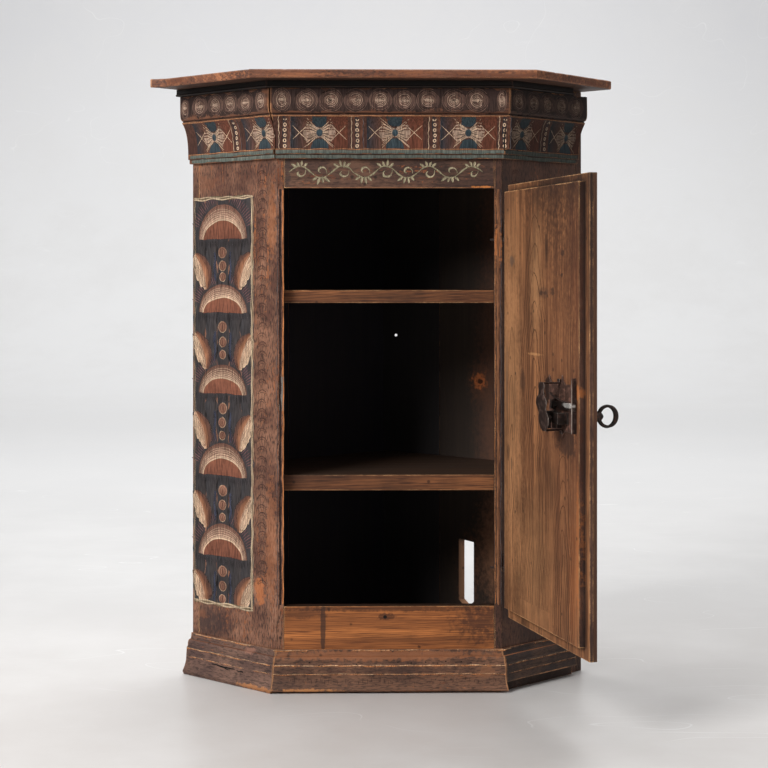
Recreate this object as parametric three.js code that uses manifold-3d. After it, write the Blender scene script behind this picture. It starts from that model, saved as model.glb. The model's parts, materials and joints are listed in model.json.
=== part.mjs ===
// A painted pine corner cupboard: a flat front between two canted sides, two back walls that meet in
// the corner of a room, a moulded cornice and plinth, two shelves, and one door on iron hooks with an
// open forged lock. Sizes are in millimetres, +Z is up and the front faces -Y. The door stands open.

import * as THREE from "three";
import { mergeVertices } from "three/addons/utils/BufferGeometryUtils.js";
import Module from "manifold-3d";

const wasm = await Module();
wasm.setup();

// Carcass. The sides lean back at 45 degrees, so that the back walls make the right angle of a room.
const front_width = 329;
const side_width = 188;
const body_height = 887.5;
const side_thickness = 16;
const back_thickness = 14;
const rail_thickness = 20;
const strip_width = 10.9; // the side board's front edge, which shows beside the opening
const bottom_rail_height = 123.5;
const top_rail_height = 154.2;
const joint_gap = 0.3; // between pieces that bear on each other at an angle
const cut_overrun = 5; // how far every cutting shape runs past the face it cuts

// Boards that lie level inside, each housed in a groove in both side boards.
const groove_depth = 4;
const shelf_front = 20; // from the front of the body
const floor_top = 62;
const floor_thickness = 18;
const lower_shelf_top = 313;
const lower_shelf_thickness = 23;
const upper_shelf_top = 584.5;
const upper_shelf_thickness = 19;

// Back walls of upright planks.
const right_seam_shares = [0, 0.333, 0.667, 1]; // plank edges, from the outer edge to the back corner
const left_seam_shares = [0, 0.46, 1];
const plank_gap = 0.8;
const slot_width = 32;
const slot_from_corner = 198.5;
const slot_bottom = 70;
const slot_top = 180.5;
const slot_top_slant = 3;
const slot_tip_rise = 12;
const peg_hole_radius = 2.4;
const peg_hole_height = 507;
const peg_hole_side = 20;

// Cornice, crown strip and top board.
const crown_height = 10.5;
const cornice_height = 101;
const cornice_reach = 25;
const cornice_fillet_height = 13;
const cornice_fillet_reach = 9.2;
const cornice_cove_height = 48;
const cornice_cove_reach = 21;
const cornice_quirk = 1.6;
const cornice_ovolo_height = 12;
const open_mitre_gap = 2.2; // the front left mitre has opened
const right_return_short = 17;
const crown_reach = 34;
const crown_bead_radius = 1.6;
const crown_right_short = 60;
const top_board_thickness = 12.5;
const top_front_overhang = 60;
const top_left_overhang = 36.5; // of the front corners past the body's, sideways
const top_right_overhang = 45.5;
const top_left_reach = 58.6; // of the tips past the body's widest point
const top_right_reach = 40.6;
const top_left_nose = 24; // short facet that takes off each tip
const top_right_nose = 11;
const top_seam_share = 0.52; // of the top's depth, where its two planks meet

// Plinth.
const plinth_height = 61;
const plinth_foot_reach = 18.5;
const plinth_toe_reach = 21;
const plinth_toe_height = 5;
const plinth_waist_reach = 13.5;
const plinth_waist_height = 27;
const plinth_shoulder_height = 40;
const plinth_quirk = 2;
const plinth_top_reach = 3;
const front_plinth_lift = 3;
const right_plinth_short = 30;
const broken_foot_height = 15;
const broken_foot_reach = 5;

// Door. It closes into the opening, and a lip covers the edge of the opening all round.
const door_open_deg = 103.7;
const door_inner_depth = 8.5; // its inner face, behind the front of the body
const door_play_lock_side = 4.1;
const door_play_hinge_side = 1.8;
const door_play_top = 6.3;
const door_play_bottom = 1;
const door_lip_lock_side = 14;
const door_lip_hinge_side = 9.7;
const door_lip_top = 10.5;
const door_lip_bottom = 16;
const door_lip_thickness = 5.5;
const door_lip_clearance = 0.5;
const frame_moulding_width = 42;
const frame_moulding_thickness = 4.7;
const frame_moulding_edge = 1.4;

// Hinges: an iron hook driven through the corner of the side board, and a strap with an eye.
const upper_hinge_inset = 62.3; // of its middle below the opening's top
const lower_hinge_inset = 65.5; // of its middle above the bottom rail
const pin_radius = 3;
const pin_set_back = 3.9; // along the side board's face from its front corner
const pin_clearance = 0.3;
const pin_head_rise = 4;
const eye_wall = 1.9;
const eye_clearance = 0.8; // from the side board's face
const eye_height = 18;
const hook_bar = 6;
const spike_tip = 2.2;
const spike_past_board = 9;
const strap_thickness = 2.4;
const strap_length = 38;
const strap_spread = 30;
const strap_neck = 11;

// Lock, on the inner face of the door. Places are measured from the key's axis.
const key_from_lock_edge = 60; // of the door's inner board
const key_height = 418;
const plate_thickness = 1.5;
const forend_inset = 8; // from the door's lock edge
const plate_hinge_side = 48;
const plate_top = 44;
const plate_bottom = 18;
const plate_peak = 11.5;
const plate_point = 10;
const plate_horn = 9.8;
const forend_height = 7; // over the door's face
const forend_thickness = 1.6;
const keyhole_radius = 3.5;
const keyhole_slot = 4.6;
const wood_keyhole_ease = 0.8;
const bolt_bottom = 11.5; // over the key's axis
const bolt_height = 9;
const bolt_thickness = 4;
const bolt_proud = 1;
const bolt_tail = 32;
const bolt_throw = 17;
const staple_place = 25;
const staple_width = 5;
const staple_thickness = 1.3;
const staple_foot = 2.2;
const spring_rise = 9;
const spring_thickness = 1.2;
const spring_reach_share = 0.45; // of the plate towards its lock side
const bridge_clear = 24; // under the bridge
const bridge_thickness = 2.2;
const bridge_top = 50.4;
const bridge_bottom = 21.6;
const bridge_half_width = 15;
const bridge_foot = 2.9;
const ward_reach = 17.5;
const ward_thickness = 1.1;
const lower_ward_clear = 6.2;
const upper_ward_clear = 13;
const ward_foot = 4;

// Key.
const key_radius = 2.7;
const key_bit_reach = 14;
const key_bit_thickness = 2.6;
const key_bow_length = 29;
const key_bow_height = 31.5;
const key_bow_wire = 2.3;
const key_bow_stand = 79; // its far end, from the door's inner face
const key_collar_radius = 4.1;
const key_collar_length = 3.4;
const key_knob_length = 7;
const key_clearance = 0.45;

// Escutcheon round the keyhole on the front, and the strike plate let into the left side board.
const escutcheon_width = 27;
const escutcheon_height = 46;
const escutcheon_thickness = 1.2;
const strike_height = 49;
const strike_below_key = 9;
const strike_face = 7;
const strike_return = 8;
const strike_thickness = 1;
const mortise_ease = 0.8;

// How round the curved forms are.
const round_sides = 20;
const curve_steps = 6;
const bow_steps = 30;
const bow_sides = 8;

// Places that follow from the sizes above.
const half_front = front_width / 2;
const side_depth = side_width * Math.SQRT1_2;
const half_body = half_front + side_depth;
const back_corner = half_body + side_depth;
const wall_length = half_body * Math.SQRT2;
const half_opening = half_front - strip_width;
const opening_top = body_height - top_rail_height;
const cornice_top = body_height - crown_height;
const cornice_bottom = cornice_top - cornice_height;
const cant_inset = side_thickness * Math.SQRT2; // the side board's thickness, measured along X
const wall_inset = back_thickness * Math.SQRT2;
const upper_hinge_height = opening_top - upper_hinge_inset;
const lower_hinge_height = bottom_rail_height + lower_hinge_inset;
const pin_stand_off = pin_radius + pin_clearance + eye_wall + eye_clearance;
const hinge_x = half_front + (pin_set_back + pin_stand_off) * Math.SQRT1_2;
const hinge_y = (pin_set_back - pin_stand_off) * Math.SQRT1_2;
const mitre_lean = Math.tan(Math.PI / 8); // half of the 45 degree turn between front and side

const door = {
  left: -half_opening + door_play_lock_side,
  right: half_opening - door_play_hinge_side,
  bottom: bottom_rail_height + door_play_bottom,
  top: opening_top - door_play_top,
};
const lip = {
  left: door.left - door_lip_lock_side,
  right: door.right + door_lip_hinge_side,
  bottom: door.bottom - door_lip_bottom,
  top: door.top + door_lip_top,
};
const lip_back = -door_lip_clearance;
const field_front = lip_back - door_lip_thickness;
const frame_front = field_front - joint_gap - frame_moulding_thickness;
const key_x = door.left + key_from_lock_edge;
const plate_lock_side = key_from_lock_edge - forend_inset;
const ward_half_height = bolt_bottom - staple_thickness - staple_foot - joint_gap * 2;
const strike_bottom = key_height - strike_below_key;

// Levels of the lock's layers over the door's inner face.
const plate_back = joint_gap;
const plate_face = plate_back + plate_thickness;
const bolt_back = plate_face + joint_gap;
const bolt_face = bolt_back + bolt_thickness;
const part_floor = plate_face + joint_gap; // where the pieces on the plate stand
const bridge_back = part_floor + bridge_clear;
const key_tip = bridge_back + bridge_thickness + key_clearance;

const finishes = {
  painted_side: { color: 0x68422f, roughness: 0.8, metalness: 0 },
  painted_trim: { color: 0x4a3a34, roughness: 0.75, metalness: 0 },
  painted_frieze: { color: 0x5a3a2c, roughness: 0.75, metalness: 0 },
  dark_strip: { color: 0x2a2422, roughness: 0.8, metalness: 0 },
  worn_pine: { color: 0x7b4a2c, roughness: 0.75, metalness: 0 },
  bare_pine: { color: 0x825a3c, roughness: 0.8, metalness: 0 },
  forged_iron: { color: 0x35302d, roughness: 0.55, metalness: 0.85 },
  worn_iron: { color: 0x8f8a84, roughness: 0.35, metalness: 0.95 },
};

// Shapes and cuts

function outline(points) {
  return new THREE.Shape(points.map(([x, y]) => new THREE.Vector2(x, y)));
}

// A shape in the XY plane, raised from low to high.
function prism(shape, low, high) {
  const geometry = new THREE.ExtrudeGeometry(shape, {
    depth: high - low,
    bevelEnabled: false,
    curveSegments: curve_steps,
  });
  return geometry.translate(0, 0, low);
}

// A shape drawn in the XZ plane, carried from front to back along Y.
function facePlate(shape, front, back) {
  return prism(shape, 0, back - front).rotateX(Math.PI / 2).translate(0, back, 0);
}

// A section drawn as [height, depth into the cupboard], carried along X from one place to another.
function crossBar(section, from, to) {
  const turn = new THREE.Matrix4().makeBasis(
    new THREE.Vector3(0, 0, 1),
    new THREE.Vector3(0, 1, 0),
    new THREE.Vector3(-1, 0, 0),
  );
  return prism(section, -to, -from).applyMatrix4(turn);
}

// The section of a strap bent over something: two feet on the floor, two legs and a flat crown. The
// strap leaves a room from low to high, clear above the floor.
function hat(low, high, floor, clear, thickness, foot) {
  const reach = thickness + foot;
  const inside = floor + clear;
  return outline([
    [low - reach, floor],
    [low, floor],
    [low, inside],
    [high, inside],
    [high, floor],
    [high + reach, floor],
    [high + reach, floor + thickness],
    [high + thickness, floor + thickness],
    [high + thickness, inside + thickness],
    [low - thickness, inside + thickness],
    [low - thickness, floor + thickness],
    [low - reach, floor + thickness],
  ]);
}

function block([x0, x1], [y0, y1], [z0, z1]) {
  const geometry = new THREE.BoxGeometry(x1 - x0, y1 - y0, z1 - z0);
  return geometry.translate((x0 + x1) / 2, (y0 + y1) / 2, (z0 + z1) / 2);
}

// A round bar along Z.
function bar(radius, low, high) {
  const geometry = new THREE.CylinderGeometry(radius, radius, high - low, round_sides);
  return geometry.rotateX(Math.PI / 2).translate(0, 0, (low + high) / 2);
}

// A profile of [radius, height] points turned about Z.
function turned(profile) {
  const points = profile.map(([radius, height]) => new THREE.Vector2(radius, height));
  return new THREE.LatheGeometry(points, round_sides).rotateX(Math.PI / 2);
}

// A round bar along Y.
function alongAxis(radius, front, back) {
  return bar(radius, -back, -front).rotateX(Math.PI / 2);
}

function solid(geometry) {
  const bare = new THREE.BufferGeometry();
  bare.setAttribute("position", geometry.getAttribute("position"));
  bare.setIndex(geometry.index);
  const merged = mergeVertices(bare);
  return new wasm.Manifold(
    new wasm.Mesh({
      numProp: 3,
      vertProperties: merged.attributes.position.array,
      triVerts: new Uint32Array(merged.index.array),
    }),
  );
}

function geometryOf(manifold) {
  const { vertProperties, triVerts } = manifold.getMesh();
  const geometry = new THREE.BufferGeometry();
  geometry.setAttribute("position", new THREE.BufferAttribute(vertProperties, 3));
  geometry.setIndex(new THREE.BufferAttribute(triVerts, 1));
  const faceted = geometry.toNonIndexed();
  faceted.computeVertexNormals();
  return faceted;
}

// The first geometry with the others joined to it.
function joined(...geometries) {
  return geometryOf(geometries.map(solid).reduce((whole, part) => whole.add(part)));
}

// The first geometry with the others cut out of it.
function cut(geometry, ...cutters) {
  return geometryOf(cutters.map(solid).reduce((rest, part) => rest.subtract(part), solid(geometry)));
}

function common(first, second) {
  return geometryOf(solid(first).intersect(solid(second)));
}

// A moulding: its profile is drawn as [reach, height], and it runs along +X from zero to length. A lean
// carries an end outwards with the reach, as a mitre round an outer corner does.
function moulding(profile, length, start_lean, end_lean) {
  const geometry = prism(profile, 0, length);
  const turn = new THREE.Matrix4().makeBasis(
    new THREE.Vector3(0, -1, 0),
    new THREE.Vector3(0, 0, 1),
    new THREE.Vector3(-1, 0, 0),
  );
  geometry.applyMatrix4(turn).translate(length, 0, 0);
  const place = geometry.getAttribute("position");
  for (let i = 0; i < place.count; i += 1) {
    const reach = -place.getY(i);
    const lean = place.getX(i) < length / 2 ? -start_lean : end_lean;
    place.setX(i, place.getX(i) + lean * reach);
  }
  return geometry;
}

// A strip of even thickness on both sides of a curve drawn in a plane.
function band(curve, thickness, steps) {
  const sides = [[], []];
  for (let i = 0; i <= steps; i += 1) {
    const point = curve.getPoint(i / steps);
    const tangent = curve.getTangent(i / steps);
    const across = new THREE.Vector2(-tangent.y, tangent.x).multiplyScalar(thickness / 2);
    sides[0].push(point.clone().add(across));
    sides[1].unshift(point.clone().sub(across));
  }
  return new THREE.Shape([...sides[0], ...sides[1]]);
}

// A closed ring: a round bar whose centre line and radius are functions of the turn, from 0 to 2 pi.
function ring(centre, radius) {
  const places = [];
  const faces = [];
  for (let i = 0; i < bow_steps; i += 1) {
    const turn = (i / bow_steps) * 2 * Math.PI;
    const middle = centre(turn);
    const ahead = centre(turn + Math.PI / bow_steps);
    const tangent = ahead.sub(centre(turn - Math.PI / bow_steps)).normalize();
    const side = new THREE.Vector3(1, 0, 0);
    const out = new THREE.Vector3().crossVectors(tangent, side);
    for (let j = 0; j < bow_sides; j += 1) {
      const roll = (j / bow_sides) * 2 * Math.PI;
      const point = middle.clone().addScaledVector(side, radius(turn) * Math.cos(roll));
      point.addScaledVector(out, radius(turn) * Math.sin(roll));
      places.push(point.x, point.y, point.z);
      const a = i * bow_sides + j;
      const b = i * bow_sides + ((j + 1) % bow_sides);
      const c = ((i + 1) % bow_steps) * bow_sides + j;
      const d = ((i + 1) % bow_steps) * bow_sides + ((j + 1) % bow_sides);
      faces.push(a, b, d, a, d, c);
    }
  }
  const geometry = new THREE.BufferGeometry();
  geometry.setAttribute("position", new THREE.Float32BufferAttribute(places, 3));
  return geometry.setIndex(faces);
}

function piece(parent, name, geometry, finish) {
  const mesh = new THREE.Mesh(geometry, new THREE.MeshStandardMaterial(finishes[finish]));
  mesh.name = name;
  parent.add(mesh);
}

function group(parent, x, y, z) {
  const made = new THREE.Group();
  made.position.set(x, y, z);
  parent.add(made);
  return made;
}

// Frames. The origin of the whole lies under the middle of the bottom rail.
const cupboard = new THREE.Group();
const body = group(cupboard, 0, -rail_thickness / 2, 0);

// Each half has a frame on its side board's face and one on its back wall. In both, X runs towards the
// back corner and Y into the cupboard. The left half is the right half's mirror image.
function halfFrames(mirror) {
  const half = group(body, 0, 0, 0);
  half.scale.x = mirror;
  const side = group(half, half_front, 0, 0);
  side.rotation.z = Math.PI / 4;
  const wall = group(half, half_body, side_depth, 0);
  wall.rotation.z = (3 * Math.PI) / 4;
  side.updateMatrix();
  return { side, wall };
}
const right = halfFrames(1);
const left = halfFrames(-1);

// Moves geometry drawn in the body's frame into a side board's frame.
function ontoSide(geometry) {
  return geometry.applyMatrix4(right.side.matrix.clone().invert());
}

// Carcass

const levels = [
  { name: "floor_board", top: floor_top, thickness: floor_thickness, front: rail_thickness + joint_gap },
  { name: "lower_shelf", top: lower_shelf_top, thickness: lower_shelf_thickness, front: shelf_front },
  { name: "upper_shelf", top: upper_shelf_top, thickness: upper_shelf_thickness, front: shelf_front },
];

// The groove that houses a level board, in the side board's frame.
function groove({ top, thickness, front }) {
  const start = front * Math.SQRT2 - side_thickness - joint_gap;
  return block(
    [start, side_width + cut_overrun],
    [side_thickness - groove_depth, side_thickness + cut_overrun],
    [top - thickness, top + joint_gap],
  );
}

// A side board's plan: its front edge is cut to lie in the cupboard's front, and its jamb square to it.
function sideBoard() {
  const end = side_width - back_thickness - joint_gap;
  const plan = outline([
    [0, 0],
    [end, 0],
    [end, side_thickness],
    [side_thickness - strip_width * Math.SQRT2, side_thickness],
    [-strip_width * Math.SQRT1_2, strip_width * Math.SQRT1_2],
  ]);
  return cut(prism(plan, 0, body_height), ...levels.map(groove));
}

// The strike plate's recess. It and the mortise are drawn in the body's frame, mirrored to the right side.
function strikeRecess() {
  const inner = half_opening - cut_overrun;
  const depth = strike_thickness + joint_gap;
  const plan = outline([
    [inner, -cut_overrun],
    [half_opening + strike_face + joint_gap, -cut_overrun],
    [half_opening + strike_face + joint_gap, depth],
    [half_opening + depth, depth],
    [half_opening + depth, strike_return + joint_gap],
    [inner, strike_return + joint_gap],
  ]);
  return prism(plan, strike_bottom - joint_gap, strike_bottom + strike_height + joint_gap);
}

function boltMortise() {
  const bolt_end = -(key_x - plate_lock_side - bolt_proud - bolt_throw);
  const bolt_foot = key_height + bolt_bottom;
  return block(
    [half_opening - cut_overrun, bolt_end + mortise_ease],
    [door_inner_depth + bolt_back - mortise_ease, door_inner_depth + bolt_face + mortise_ease],
    [bolt_foot - mortise_ease, bolt_foot + bolt_height + mortise_ease],
  );
}

// A square bar that tapers inwards through the side board, from the pin's axis to its point.
function spike(height, ease) {
  const half_root = hook_bar / 2 + ease;
  const half_tip = spike_tip / 2 + ease;
  const length = pin_stand_off + side_thickness + spike_past_board;
  const geometry = new THREE.CylinderGeometry(
    half_tip * Math.SQRT2,
    half_root * Math.SQRT2,
    length,
    4,
  );
  geometry.rotateY(Math.PI / 4).translate(0, length / 2, 0);
  return geometry.translate(pin_set_back, -pin_stand_off, height);
}

const eye_foot = -eye_height / 2 - joint_gap; // the hook's shoulder, under the eye
function spikeHeight(hinge_height) {
  return hinge_height + eye_foot - hook_bar / 2;
}

function buildSideBoards() {
  const hinge_heights = [upper_hinge_height, lower_hinge_height];
  const spike_holes = hinge_heights.map((height) => spike(spikeHeight(height), joint_gap));
  piece(right.side, "side_board_right", cut(sideBoard(), ...spike_holes), "painted_side");
  const lock_cuts = [strikeRecess(), boltMortise()].map(ontoSide);
  piece(left.side, "side_board_left", cut(sideBoard(), ...lock_cuts), "painted_side");
}

// A rail fits between the two jambs, and behind them its ends follow the side boards' inner faces.
function rail(low, high) {
  const half = half_opening - joint_gap;
  const slope = half_front - cant_inset - joint_gap * Math.SQRT2;
  const plan = outline([
    [-half, 0],
    [half, 0],
    [half, half - slope],
    [slope + rail_thickness, rail_thickness],
    [-slope - rail_thickness, rail_thickness],
    [-half, half - slope],
  ]);
  return prism(plan, low, high);
}

function buildRails() {
  piece(body, "bottom_rail", rail(0, bottom_rail_height), "worn_pine");
  piece(body, "top_rail", rail(opening_top, body_height), "painted_frieze");
}

// A level board's plan: five-sided, with its side edges in the grooves.
function levelBoard({ top, thickness, front }) {
  const side_line = half_front - cant_inset + (groove_depth - joint_gap) * Math.SQRT2;
  const back_line = back_corner - wall_inset - joint_gap * Math.SQRT2;
  const corner_x = (back_line + side_line) / 2;
  const corner_y = (back_line - side_line) / 2;
  const plan = outline([
    [-side_line - front, front],
    [side_line + front, front],
    [corner_x, corner_y],
    [0, back_line],
    [-corner_x, corner_y],
  ]);
  return prism(plan, top - thickness, top);
}

function buildLevels() {
  for (const level of levels) {
    piece(body, level.name, levelBoard(level), "bare_pine");
  }
}

// One plank of a back wall, between two shares of the wall's length.
function plank(from, to) {
  return block([from, to - plank_gap], [0, back_thickness], [0, body_height]);
}

// The pierced slot: straight sides, a slanting top and a pointed foot.
function slot() {
  const middle = wall_length - slot_from_corner;
  const half = slot_width / 2;
  const shape = new THREE.Shape();
  shape.moveTo(middle, slot_bottom);
  shape.lineTo(middle + half, slot_bottom + slot_tip_rise);
  shape.lineTo(middle + half, slot_top);
  shape.lineTo(middle - half, slot_top - slot_top_slant);
  shape.lineTo(middle - half, slot_bottom + slot_tip_rise);
  return facePlate(shape, -cut_overrun, back_thickness + cut_overrun);
}

// A small round hole that runs straight back, so that light shows through it from the front.
function pegHole() {
  const turn = new THREE.Matrix4().makeRotationZ(Math.PI / 4);
  const past = wall_inset + cut_overrun;
  const hole = alongAxis(peg_hole_radius, -past, past).applyMatrix4(turn);
  return hole.translate(wall_length - peg_hole_side * Math.SQRT2, 0, peg_hole_height);
}

function buildBackWalls() {
  const names = { right: ["outer", "middle", "inner"], left: ["outer", "inner"] };
  const cuts = { middle: slot, inner: pegHole };
  names.right.forEach((name, i) => {
    const [from, to] = [right_seam_shares[i], right_seam_shares[i + 1]].map((share) => share * wall_length);
    const whole = plank(from, to);
    const geometry = cuts[name] ? cut(whole, cuts[name]()) : whole;
    piece(right.wall, `back_plank_right_${name}`, geometry, "bare_pine");
  });
  const left_length = wall_length - back_thickness;
  names.left.forEach((name, i) => {
    const [from, to] = [left_seam_shares[i], left_seam_shares[i + 1]].map((share) => share * left_length);
    piece(left.wall, `back_plank_left_${name}`, plank(from, to), "bare_pine");
  });
}

// Mouldings

// The cornice, from the bottom: a stepped fillet, a cove, a quirk and an ovolo under a plain face.
function corniceProfile() {
  const fillet_top = cornice_bottom + cornice_fillet_height;
  const cove_top = fillet_top + cornice_cove_height;
  const ovolo_bottom = cove_top + cornice_quirk * 2;
  const ovolo_top = ovolo_bottom + cornice_ovolo_height;
  const lower_fillet_share = 0.7;
  const cove_bend_share = 0.72;
  const profile = new THREE.Shape();
  profile.moveTo(0, cornice_bottom);
  profile.lineTo(cornice_fillet_reach * lower_fillet_share, cornice_bottom);
  profile.lineTo(cornice_fillet_reach * lower_fillet_share, fillet_top - cornice_fillet_height / 2);
  profile.lineTo(cornice_fillet_reach, fillet_top - cornice_fillet_height / 2);
  profile.lineTo(cornice_fillet_reach, fillet_top);
  profile.quadraticCurveTo(
    cornice_fillet_reach,
    fillet_top + cornice_cove_height * cove_bend_share,
    cornice_cove_reach,
    cove_top,
  );
  profile.lineTo(cornice_cove_reach, cove_top + cornice_quirk);
  profile.lineTo(cornice_cove_reach - cornice_quirk, cove_top + cornice_quirk);
  profile.lineTo(cornice_cove_reach - cornice_quirk, ovolo_bottom);
  profile.quadraticCurveTo(cornice_reach, ovolo_bottom, cornice_reach, ovolo_top);
  profile.lineTo(cornice_reach, cornice_top);
  profile.lineTo(0, cornice_top);
  return profile;
}

// The crown strip under the top board, with a bead along its lower edge.
function crownProfile() {
  const profile = new THREE.Shape();
  const bead_centre = cornice_top + crown_bead_radius;
  profile.moveTo(0, cornice_top);
  profile.lineTo(crown_reach - crown_bead_radius, cornice_top);
  profile.absarc(crown_reach - crown_bead_radius, bead_centre, crown_bead_radius, -Math.PI / 2, Math.PI / 2);
  profile.lineTo(crown_reach - crown_bead_radius, body_height);
  profile.lineTo(0, body_height);
  return profile;
}

// The plinth, from the floor: a toe, a hollow up to the waist, a shoulder and an ogee to the body.
function plinthProfile() {
  const ogee_bottom = plinth_shoulder_height + plinth_quirk;
  const shoulder_reach = plinth_waist_reach - plinth_quirk / 2;
  const ogee_reach = shoulder_reach - plinth_quirk;
  const middle_reach = (ogee_reach + plinth_top_reach) / 2;
  const middle_height = (ogee_bottom + plinth_height) / 2;
  const profile = new THREE.Shape();
  profile.moveTo(0, 0);
  profile.lineTo(plinth_foot_reach, 0);
  profile.lineTo(plinth_toe_reach, plinth_toe_height);
  profile.quadraticCurveTo(
    plinth_waist_reach,
    (plinth_toe_height + plinth_waist_height) / 2,
    plinth_waist_reach,
    plinth_waist_height,
  );
  profile.lineTo(shoulder_reach, plinth_shoulder_height);
  profile.lineTo(ogee_reach, ogee_bottom);
  profile.quadraticCurveTo(ogee_reach, middle_height, middle_reach, middle_height);
  profile.quadraticCurveTo(plinth_top_reach, middle_height, plinth_top_reach, plinth_height);
  profile.lineTo(0, plinth_height);
  return profile;
}

// A run along the front, with its two mitres. A wide gap leaves one mitre open.
function frontRun(profile, left_gap, right_gap) {
  const length = front_width - left_gap - right_gap;
  return moulding(profile, length, mitre_lean, mitre_lean).translate(left_gap - half_front, 0, 0);
}

// A run along a side, from its front mitre to a square end.
function sideRun(profile, short) {
  const length = side_width - short - joint_gap;
  return moulding(profile, length, mitre_lean, 0).translate(joint_gap, -joint_gap, 0);
}

function buildCornice() {
  const profile = corniceProfile();
  const front = frontRun(profile, open_mitre_gap, joint_gap);
  piece(body, "cornice_front", front, "painted_trim");
  piece(left.side, "cornice_left", sideRun(profile, 0), "painted_trim");
  piece(right.side, "cornice_right", sideRun(profile, right_return_short), "painted_trim");
}

function buildCrown() {
  const profile = crownProfile();
  piece(body, "crown_strip_front", frontRun(profile, joint_gap, joint_gap), "dark_strip");
  piece(left.side, "crown_strip_left", sideRun(profile, 0), "dark_strip");
  piece(right.side, "crown_strip_right", sideRun(profile, crown_right_short), "dark_strip");
}

// The right plinth has lost its foot, so that a shallow step is left there.
function brokenPlinth() {
  const run = sideRun(plinthProfile(), right_plinth_short);
  const lost = block(
    [-plinth_toe_reach, side_width],
    [-plinth_toe_reach - cut_overrun, -broken_foot_reach],
    [-cut_overrun, broken_foot_height],
  );
  return cut(run, lost);
}

// The front plinth stands clear of the floor.
function liftedPlinth() {
  const run = frontRun(plinthProfile(), joint_gap, joint_gap);
  const under = block(
    [-front_width, front_width],
    [-plinth_toe_reach - cut_overrun, cut_overrun],
    [-cut_overrun, front_plinth_lift],
  );
  return cut(run, under);
}

function buildPlinth() {
  piece(body, "plinth_front", liftedPlinth(), "worn_pine");
  piece(left.side, "plinth_left", sideRun(plinthProfile(), 0), "worn_pine");
  piece(right.side, "plinth_right", brokenPlinth(), "worn_pine");
}

// The top board overhangs the cornice unevenly and follows the two walls to the back corner. Its two
// planks meet along X.
function topOutline() {
  const left_tip = half_body + top_left_reach;
  const right_tip = half_body + top_right_reach;
  const left_wall_y = back_corner - left_tip;
  const right_wall_y = back_corner - right_tip;
  return {
    front: [
      [-half_front - top_left_overhang, -top_front_overhang],
      [half_front + top_right_overhang, -top_front_overhang],
      [right_tip - top_right_nose / 2, right_wall_y - top_right_nose],
      [right_tip, right_wall_y],
    ],
    left: [
      [-left_tip, left_wall_y],
      [-left_tip + top_left_nose, left_wall_y - top_left_nose / 3],
    ],
  };
}

function buildTopBoard() {
  const { front, left: left_end } = topOutline();
  const seam = -top_front_overhang + (back_corner + top_front_overhang) * top_seam_share;
  const half_seam = back_corner - seam;
  const front_plank = outline([...front, [half_seam, seam], [-half_seam, seam], ...left_end]);
  const rear = seam + plank_gap;
  const half_rear = half_seam - plank_gap;
  const rear_plank = outline([
    [half_rear, rear],
    [0, back_corner],
    [-half_rear, rear],
  ]);
  const top = body_height + top_board_thickness;
  piece(body, "top_board_front", prism(front_plank, body_height, top), "worn_pine");
  piece(body, "top_board_rear", prism(rear_plank, body_height, top), "worn_pine");
}

// Ironwork on the case

// A hook: an upright pin with a rounded head, a shoulder under it and a spike through the side board.
function hook(hinge_height) {
  const top = hinge_height + eye_height / 2 + pin_head_rise;
  const foot = spikeHeight(hinge_height) - hook_bar / 2;
  const shoulder = hinge_height + eye_foot;
  const half_bar = hook_bar / 2;
  const pin = turned([
    [0, foot],
    [pin_radius, foot],
    [pin_radius, top - pin_radius / 2],
    [pin_radius / 2, top],
    [0, top],
  ]);
  const collar = block([-half_bar, half_bar], [-half_bar, half_bar], [foot, shoulder]);
  const moved = [pin, collar].map((part) => part.translate(pin_set_back, -pin_stand_off, 0));
  return joined(...moved, spike(spikeHeight(hinge_height), 0));
}

// The strike plate: an angle on the front edge and the jamb of the left side board.
function strikePlate() {
  const plan = outline([
    [half_opening, 0],
    [half_opening + strike_face, 0],
    [half_opening + strike_face, strike_thickness],
    [half_opening + strike_thickness, strike_thickness],
    [half_opening + strike_thickness, strike_return],
    [half_opening, strike_return],
  ]);
  return ontoSide(prism(plan, strike_bottom, strike_bottom + strike_height));
}

function buildCaseIron() {
  piece(right.side, "hinge_hook_upper", hook(upper_hinge_height), "forged_iron");
  piece(right.side, "hinge_hook_lower", hook(lower_hinge_height), "forged_iron");
  piece(left.side, "strike_plate", strikePlate(), "worn_iron");
}

// Door. Its pieces are placed as it stands closed, and the whole turns about the hinge pins.
const swing = group(body, hinge_x, hinge_y, 0);
swing.rotation.z = THREE.MathUtils.degToRad(door_open_deg);
const leaf = group(swing, -hinge_x, -hinge_y, 0);

// A keyhole about the key's axis: a round hole with a slot below it, carried along Y.
function keyhole(ease, front, back) {
  const round = alongAxis(keyhole_radius + ease, front, back);
  const half = keyhole_slot / 2 + ease;
  const foot = -key_bit_reach - key_clearance - ease;
  return joined(round, block([-half, half], [front, back], [foot, 0]));
}

// The door board: the part that enters the opening, with a thinner lip round it.
function doorBoard() {
  const inner = block([door.left, door.right], [field_front, door_inner_depth], [door.bottom, door.top]);
  const rim = block([lip.left, lip.right], [field_front, lip_back], [lip.bottom, lip.top]);
  const hole = keyhole(wood_keyhole_ease, field_front - cut_overrun, door_inner_depth + cut_overrun);
  return cut(joined(inner, rim), hole.translate(key_x, 0, key_height));
}

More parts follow.
